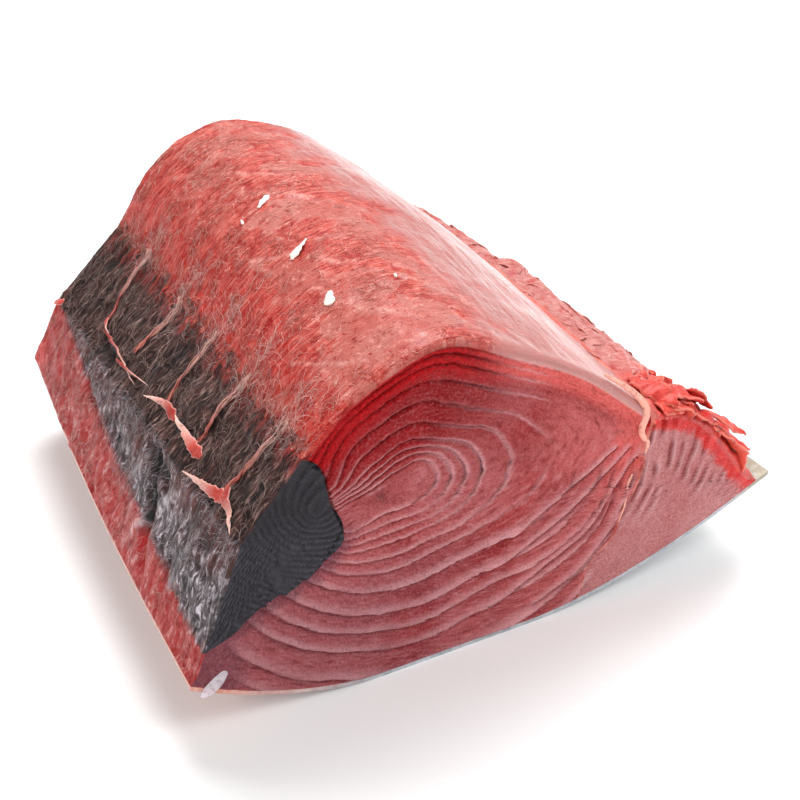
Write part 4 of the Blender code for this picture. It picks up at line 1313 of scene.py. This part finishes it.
# White flecks of fat on the crown
FLECKS = (
    (((0.574, 3.52, 0.3), (0.585, 3.62, 0.6), (0.598, 3.72, 0.3)), 2.0),
    (((0.562, 3.27, 0.2), (0.570, 3.28, 0.4), (0.580, 3.29, 0.2)), 1.0),
    (((0.377, 3.40, 0.3), (0.392, 3.53, 0.8), (0.404, 3.66, 0.3)), 3.4),
    (((0.212, 3.38, 0.3), (0.226, 3.42, 0.8), (0.240, 3.48, 0.3)), 3.2),
    (((0.206, 4.14, 0.1), (0.210, 4.15, 0.4), (0.215, 4.16, 0.1)), 0.9),
)
# The septum's raised cord at the cut: (across, up) in shares, and its half thickness in millimetres
CORD_AT_CUT = (
    ((0.166, 0.742), 0.5), ((0.214, 0.672), 0.9), ((0.240, 0.604), 1.25), ((0.230, 0.548), 1.1),
    ((0.242, 0.502), 1.0), ((0.239, 0.470), 0.8), ((0.231, 0.430), 0.6), ((0.217, 0.388), 0.5),
    ((0.213, 0.308), 0.35), ((0.205, 0.258), 0.25),
)
# How far the cord is drawn in where it comes over the rounded rim, at shares of its own length
CORD_DRAWN_IN = ((0, 0.11, 0.22, 0.33), (2.4 * MM, 2.0 * MM, 1.4 * MM, 0.0))
# A loose flap of clear skin at the heel end of the cut: (across, up) in shares, and its
# height off the cut in millimetres
FLAP_PATH = ((-0.446, 0.206, 0.1), (-0.462, 0.188, 1.0), (-0.478, 0.170, 1.4), (-0.488, 0.158, 1.2))


class Surface:
    """The block's top, on which a place is a share of the length and a corner number."""

    def __init__(self, block):
        self.grid = block.sides
        self.shares = block.places / LENGTH
        self.out = np.stack((block.out[..., 0], 0 * block.out[..., 0], block.out[..., 1]), axis=-1)
        stretch = np.linalg.norm(np.gradient(self.grid, axis=1), axis=-1, keepdims=True)
        steps_per_corner = 1 / np.gradient(CORNER)
        self.per_corner = stretch * steps_per_corner[None, :, None]

    def at(self, share, corner):
        """Point, way out and metres per corner, at arrays of places."""
        row = np.interp(share, self.shares, np.arange(len(self.shares)))
        column = np.interp(corner, CORNER, np.arange(len(CORNER)))
        r = np.clip(row.astype(int), 0, len(self.shares) - 2)
        c = np.clip(column.astype(int), 0, len(CORNER) - 2)
        v, u = (row - r)[..., None], (column - c)[..., None]
        found = []
        for layer in (self.grid, self.out, self.per_corner):
            near = lerp(layer[r, c], layer[r, c + 1], u)
            far = lerp(layer[r + 1, c], layer[r + 1, c + 1], u)
            found.append(lerp(near, far, v))
        return found


def unit(vectors):
    return vectors / np.maximum(np.linalg.norm(vectors, axis=-1, keepdims=True), 1e-12)


def strand_mesh(name, paths, outs, across, through, sides, tint):
    """One mesh of many strands. across and through are their half sizes at each path point."""
    many, steps = paths.shape[:2]
    along = unit(np.gradient(paths, axis=1))
    side = unit(np.cross(along, outs))
    up = np.cross(side, along)
    turn = 2 * math.pi * (np.arange(sides) + 0.5) / sides
    ring = across[..., None, None] * np.cos(turn)[:, None] * side[:, :, None]
    ring = ring + through[..., None, None] * np.sin(turn)[:, None] * up[:, :, None]
    points = (paths[:, :, None] + ring).reshape(-1, 3)
    first = (np.arange(many) * steps * sides)[:, None, None]
    row = (np.arange(steps - 1) * sides)[None, :, None]
    i = np.arange(sides)[None, None, :]
    j = (i + 1) % sides
    base = first + row
    quads = np.stack((base + i, base + j, base + sides + j, base + sides + i), axis=-1).reshape(-1, 4)
    faces = [tuple(quad) for quad in quads]
    start = np.arange(many) * steps * sides
    end = start + (steps - 1) * sides
    for low, high in zip(start, end):
        faces.append(tuple(range(low + sides - 1, low - 1, -1)))
        faces.append(tuple(range(high, high + sides)))
    piece = mesh_piece(name, points, faces)
    store(piece, "tint", np.repeat(tint, steps * sides))
    store(piece, "along", np.tile(np.repeat(np.linspace(0, 1, steps), sides), many))
    store(piece, "rim", np.tile(np.abs(np.cos(turn)), many * steps))
    piece.data.shade_smooth()
    return piece


def grow_fibres(name, surface, share, corner, heading, length, width, lift, bounds, curl=1.0, steps=7):
    """Thin curly fibres on the surface. A heading of 0 runs over the top, and pi/2 along the fish."""
    many = len(share)
    stride = length / steps
    bend = curl * rng.normal(0, 0.30, many)
    paths, outs = [], []
    for step in range(steps + 1):
        point, out, per_corner = surface.at(share, corner)
        t = step / steps
        height = 0.10 * MM + lift * math.sin(math.pi * (0.1 + 0.8 * t))
        paths.append(point + out * height[:, None])
        outs.append(out)
        heading = heading + bend + curl * rng.normal(0, 0.28, many)
        share = np.clip(share + np.sin(heading) * stride / LENGTH, 0.003, 0.997)
        corner = np.clip(corner + np.cos(heading) * stride / per_corner[:, 0], *bounds)
    taper = (1 - np.linspace(0, 1, steps + 1) ** 1.5 * 0.8)[None]
    half = 0.5 * width[:, None] * taper
    tint = rng.random(many)
    return strand_mesh(name, np.stack(paths, 1), np.stack(outs, 1), half, half, 3, tint)


# The length's part on which fibres start, and how many there are
INNER = (0.004, 0.996)
BAND_FIBRES, HEEL_FIBRES, FIBRES_PER_CORD = 3600, 1800, 90
STRANDS_PER_CORD = 14


def clustered(many, share_range, corner_range, size, seed):
    """Random places that gather in tufts."""
    share, corner = rng.uniform(*share_range, 3 * many), rng.uniform(*corner_range, 3 * many)
    flat = np.stack((share * LENGTH, corner * CORNER_SPAN, 0 * share), axis=-1)
    kept = np.argsort(-clay(flat, size, seed) - 0.5 * rng.random(3 * many))[:many]
    return share[kept], corner[kept]


def between(low, high, many, power=1.0):
    return low + (high - low) * rng.random(many) ** power


def drawn(many, heading, length, width, lift):
    """Heading, length, width and lift of many fibres at random, from millimetres."""
    headings = rng.normal(*heading, many)
    lengths = between(*length[:2], many, *length[2:]) * MM
    widths = between(*width[:2], many, *width[2:]) * MM
    return headings, lengths, widths, between(0.0, lift, many, 2) * MM


def make_fibres(surface):
    """Fine fibres: over the dark band, over the red beside it, on the heel side, and in fans."""
    pieces = {}

    def grow(name, share, corner, looks, bounds, curl):
        pieces[name] = grow_fibres(name, surface, share, corner, *looks, bounds, curl)

    many = BAND_FIBRES
    share, corner = clustered(many, INNER, (1.02, 2.08), 6 * MM, 81)
    looks = drawn(many, (0.15, 0.50), (2.5, 8.0), (0.06, 0.26, 1.6), 0.4)
    grow("dark_fibres", share, corner, looks, (1.0, 2.14), 0.55)
    share, corner = clustered(many, INNER, (2.0, 4.3), 7 * MM, 82)
    corner = 2.0 + (corner - 2.0) ** 2.2 / 2.3**1.2
    looks = drawn(many, (0.1, 0.6), (2.5, 8.0), (0.07, 0.16), 0.4)
    grow("pale_fibres", share, corner, looks, (1.9, 4.4), 0.8)
    many = HEEL_FIBRES
    share, corner = clustered(many, INNER, (0.05, 1.03), 8 * MM, 83)
    looks = drawn(many, (-0.75, 0.45), (3.0, 9.0), (0.07, 0.15), 0.3)
    on_red = corner < np.interp(share, *GREY_ENDS)
    for name, own in (("heel_fibres", ~on_red), ("strip_fibres", on_red)):
        grow(name, share[own], corner[own], [values[own] for values in looks], (0.03, 1.06), 0.45)
    many = FIBRES_PER_CORD * len(CORDS)
    ends = np.array([row[2] for row in CORDS])[np.arange(many) % len(CORDS)]
    share = ends[:, 0] + rng.normal(0, 0.014, many)
    corner = ends[:, 1] - between(-0.45, 0.45, many)
    looks = drawn(many, (0.05, 0.65), (4.0, 15.0, 1.5), (0.06, 0.12), 0.5)
    grow("fan_fibres", share, corner, looks, (1.4, 3.2), 0.70)
    return pieces


def surface_path(surface, row, steps):
    """A smooth path over the surface through rows of (share, corner, height in millimetres)."""
    places = curve_through(row, steps)
    point, out, _ = surface.at(places[:, 0], places[:, 1])
    return point + out * places[:, 2:3] * MM, out


def make_cords(surface):
    """Each cord is a bundle of thin strands that twist round each other and part at the top."""
    paths, outs, halves, tints = [], [], [], []
    for number, row in enumerate(CORDS):
        places = [(share, corner, height) for (share, corner), height in zip(row, (0.4, 0.7, 0.2))]
        path, out = surface_path(surface, places, 14)
        along = unit(np.gradient(path, axis=0))
        side = np.cross(along, out)
        t = np.linspace(0, 1, len(path))[:, None]
        for strand in range(STRANDS_PER_CORD):
            turn = 2 * math.pi * (rng.uniform(0.8, 1.8) * t + rng.random())
            reach = rng.uniform(0.10, 0.70) * MM * (1 + 2.6 * t**3)
            seed = 90 + STRANDS_PER_CORD * number + strand
            loose = 0.45 * MM * clay(path, 3 * MM, seed)[:, None]
            paths.append(path + (reach * np.cos(turn) + loose) * side + 0.6 * reach * np.sin(turn) * out)
            outs.append(out)
            halves.append((rng.uniform(0.11, 0.27) * MM * (1.1 - 0.75 * t))[:, 0])
            tints.append(rng.random())
    halves = np.array(halves)
    return strand_mesh("sinew_cords", np.array(paths), np.array(outs), halves, halves, 5, np.array(tints))


def make_ribbons(name, surface, rows, thickness, ragged=0.35, steps=12, sides=12, spiked=False):
    """Thin leaves with ragged edges, one for each row of places, or spikes with a wide foot."""
    paths, outs, across, through, tints = [], [], [], [], []
    for number, (row, width) in enumerate(rows):
        path, out = surface_path(surface, row, steps)
        t = np.linspace(0, 1, len(path))
        body = np.sin(math.pi * (0.12 + 0.86 * t)) ** 0.7
        if spiked:
            body = 0.06 + (1 - t) ** 0.85 * smooth(-0.06, 0.16, t)
        edge = 1 + ragged * clay_layers(path, 1.4 * MM, 60 + number, 2)
        wave = 0.10 * width * MM * np.sin(5 * t + number) + 0.3 * MM * clay(path, 1.8 * MM, 160 + number)
        paths.append(path + out * (wave * t)[:, None])
        turn = 0.8 * np.sin(2.5 * t + 1.7 * number) * t
        side = unit(np.cross(np.gradient(path, axis=0), out))
        outs.append(unit(out + side * turn[:, None]))
        across.append(0.5 * width * MM * body * np.clip(edge, 0.35, 2))
        through.append(0.5 * thickness * (0.35 + 0.65 * body))
        tints.append(rng.random())
    return strand_mesh(
        name, np.array(paths), np.array(outs), np.array(across), np.array(through), sides, np.array(tints)
    )


def shred_rows(many, share_range, corner_range, length, width, height):
    """Small torn shreds at random places: rows for make_ribbons()."""
    rows = []
    for _ in range(many):
        share, corner = rng.uniform(*share_range), rng.uniform(*corner_range)
        heading, reach, top = rng.uniform(0, 2 * math.pi), rng.uniform(*length), rng.uniform(*height)
        step = (math.sin(heading) * reach * MM / LENGTH, math.cos(heading) * reach * MM / CORNER_SPAN)
        places = [
            (float(np.clip(share + k * step[0], 0.002, 0.998)), corner + k * step[1], h)
            for k, h in zip((0, 0.5, 1), (0.0, 0.7 * top, top))
        ]
        rows.append((places, rng.uniform(*width)))
    return rows


def make_cut_cord():
    """The septum's cream cord, which lies in the cut and comes over its rim."""
    places = [np.array(place) * (WIDTH, HEIGHT) for place, _ in CORD_AT_CUT]
    halves = [np.array([half]) for _, half in CORD_AT_CUT]
    line = curve_through(places, 8)
    half = curve_through(halves, 8)[:, 0] * MM
    t = np.linspace(0, 1, len(line))
    proud = np.interp(t, (0, 0.08, 1), (0.2, 0.6, 0.8)) * half
    proud -= np.interp(t, *CORD_DRAWN_IN)
    path = np.stack((line[:, 0], FRONT_Y - proud, line[:, 1]), axis=1)
    outs = np.tile((0.0, -1.0, 0.0), (len(path), 1))
    half = half * (1 + 0.16 * clay_layers(path, 3 * MM, 71, 2))
    return strand_mesh(
        "septum_cord", path[None], outs[None], half[None], 0.8 * half[None], 12, np.array([0.5])
    )


def make_heel_flap():
    """A thin clear flap of skin that hangs off the heel end of the cut."""
    places = curve_through(FLAP_PATH, 8)
    y = FRONT_Y - places[:, 2] * MM
    path = np.stack((places[:, 0] * WIDTH, y, places[:, 1] * HEIGHT), axis=1)
    t = np.linspace(0, 1, len(path))
    half = 1.7 * MM * np.sin(math.pi * (0.12 + 0.84 * t)) ** 0.7
    through = np.full(len(path), 0.12 * MM)
    outs = unit(np.stack((0 * t - 0.2, 0 * t - 1.0, 0.5 * np.sin(3 * t)), axis=1))
    return strand_mesh("heel_flap", path[None], outs[None], half[None], through[None], 12, np.array([0.5]))


def tinted_finish(
    name, dull, bright, end=None, rim=None, pale_share=1.0, clear=0.15, rough=0.15 * MM, alpha=1.0
):
    """A wet finish between two colours by each strand's tint, with others along it and at its rim."""
    look = Finish(
        name, Specular_IOR_Level=0.3, Coat_Roughness=0.2, Subsurface_Weight=clear, Subsurface_Scale=0.0015,
        Alpha=alpha,
    )
    mottle = look.noise(1.3 * MM, 3.0, 0.6)
    colour = look.mix(look.mask("tint").within(1 - pale_share, 1), tone(*dull), tone(*bright))
    if end:
        colour = look.mix(look.mask("along").within(0.35, 0.85), colour, tone(*end))
    colour = look.layered(
        colour,
        (mottle.within(0.54, 0.70) * 0.5, tone(*bright)),
        (mottle.within(0.46, 0.32) * 0.6, tone(*[0.72 * value for value in dull])),
    )
    if rim:
        colour = look.mix(look.mask("rim").within(0.70, 0.97) * 0.45, colour, tone(*rim))
    look.feed("Base Color", colour)
    look.feed("Roughness", 0.38 + 0.12 * mottle)
    look.bumps(mottle, rough, 0.6)
    return look.material


def make_dressing(block):
    """Everything fine that lies on the block."""
    surface = Surface(block)
    pieces = make_fibres(surface)
    pieces["sinew_cords"] = make_cords(surface)
    pieces["ridge_tags"] = make_ribbons("ridge_tags", surface, RIDGE_TAGS, 0.9 * MM, 0.42, 16, spiked=True)
    petals = shred_rows(20, (0.0, 0.08), (7.3, 8.7), (5.0, 9.0), (4.0, 7.0), (1.0, 3.0))
    petals += shred_rows(56, (0.0, 0.12), (7.15, 8.8), (2.0, 5.0), (1.5, 3.5), (0.3, 1.8))
    pieces["fin_scraps"] = make_ribbons("fin_scraps", surface, (*FIN_SCRAPS, *petals), 1.7 * MM, 0.5)
    shreds = shred_rows(110, (0.08, 0.99), (7.10, 8.7), (4.0, 9.0), (0.8, 2.2), (0.0, 0.4))
    pieces["fin_shreds"] = make_ribbons("fin_shreds", surface, shreds, 0.5 * MM, 0.5, 8, 8)
    pieces["fat_flecks"] = make_ribbons("fat_flecks", surface, FLECKS, 0.8 * MM, 0.6)
    pieces["septum_cord"] = make_cut_cord()
    pieces["heel_flap"] = make_heel_flap()
    finishes = {
        "dark_fibres": tinted_finish("dark fibres", (50, 27, 24), (176, 146, 140), pale_share=0.7),
        "pale_fibres": tinted_finish("pale fibres", (188, 66, 56), (240, 194, 184), pale_share=0.7),
        "heel_fibres": tinted_finish("heel fibres", (74, 50, 50), (206, 190, 196), pale_share=0.8),
        "strip_fibres": tinted_finish("strip fibres", (176, 74, 70), (224, 180, 176), pale_share=0.8),
        "fan_fibres": tinted_finish("fan fibres", (204, 138, 128), (250, 222, 214)),
        "sinew_cords": tinted_finish("sinew", (124, 26, 22), (214, 132, 118), (222, 180, 170)),
        "ridge_tags": tinted_finish(
            "pink tags", (126, 14, 14), (190, 76, 66), (232, 190, 178), (232, 186, 174)
        ),
        "fin_scraps": tinted_finish(
            "torn scraps", (180, 10, 10), (226, 96, 80), None, (240, 158, 140), clear=0.3, rough=0.5 * MM
        ),
        "fin_shreds": tinted_finish("pale shreds", (182, 98, 92), (198, 136, 128), rough=0.4 * MM),
        "fat_flecks": tinted_finish("fat", (240, 208, 198), (252, 236, 230)),
        "septum_cord": tinted_finish("cream cord", (228, 128, 108), (244, 196, 178)),
        "heel_flap": tinted_finish("clear skin", (206, 186, 196), (236, 226, 232), alpha=0.55),
    }
    for name, piece in pieces.items():
        piece.data.materials.append(finishes[name])
        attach(piece, "root")


# Stage, light and camera

LIT_PLACE = (0.0, 0.0, 0.05)
CAMERA_PITCH, CAMERA_YAW = math.radians(32), math.radians(28)
CAMERA_PLACE = (-0.193, FRONT_Y + LENGTH / 2 - 0.388, 0.305)


def make_stage():
    half = 6.0
    corners = [(-half, -half, 0), (half, -half, 0), (half, half, 0), (-half, half, 0)]
    floor = mesh_piece("floor", corners, [(0, 1, 2, 3)])
    look = Finish("pale floor", Roughness=0.9)
    look.shader.inputs["Base Color"].default_value = (0.86, 0.86, 0.86, 1.0)
    floor.data.materials.append(look.material)


def soft_light(name, place, size, watts):
    """A square lamp that looks at the block's middle."""
    lamp = bpy.data.lights.new(name, "AREA")
    lamp.shape = "SQUARE"
    lamp.size = size
    lamp.energy = watts
    holder = bpy.data.objects.new(name, lamp)
    holder.location = place
    holder.rotation_euler = (Vector(LIT_PLACE) - Vector(place)).to_track_quat("-Z", "Y").to_euler()
    bpy.context.scene.collection.objects.link(holder)


def make_light():
    soft_light("overhead", (0.35, 0.55, 1.15), 0.8, 23)
    soft_light("front left", (-1.1, -0.7, 0.9), 0.5, 10)
    soft_light("right", (0.9, -0.8, 1.0), 0.6, 10)
    world = bpy.data.worlds.new("studio")
    world.use_nodes = True
    world.node_tree.nodes["Background"].inputs["Color"].default_value = (1.0, 1.0, 1.0, 1.0)
    world.node_tree.nodes["Background"].inputs["Strength"].default_value = 0.40
    bpy.context.scene.world = world
    bpy.context.scene.view_settings.view_transform = "Standard"


def make_camera():
    camera = bpy.data.cameras.new("camera")
    camera.sensor_width = 36.0
    camera.lens = 67.5
    holder = bpy.data.objects.new("camera", camera)
    holder.location = CAMERA_PLACE
    level = math.cos(CAMERA_PITCH)
    ahead = Vector((math.sin(CAMERA_YAW) * level, math.cos(CAMERA_YAW) * level, -math.sin(CAMERA_PITCH)))
    holder.rotation_euler = ahead.to_track_quat("-Z", "Y").to_euler()
    bpy.context.scene.collection.objects.link(holder)
    bpy.context.scene.camera = holder


def main():
    block = Block()
    make_flesh(block)
    make_skin()
    make_dressing(block)
    make_stage()
    make_light()
    make_camera()


main()
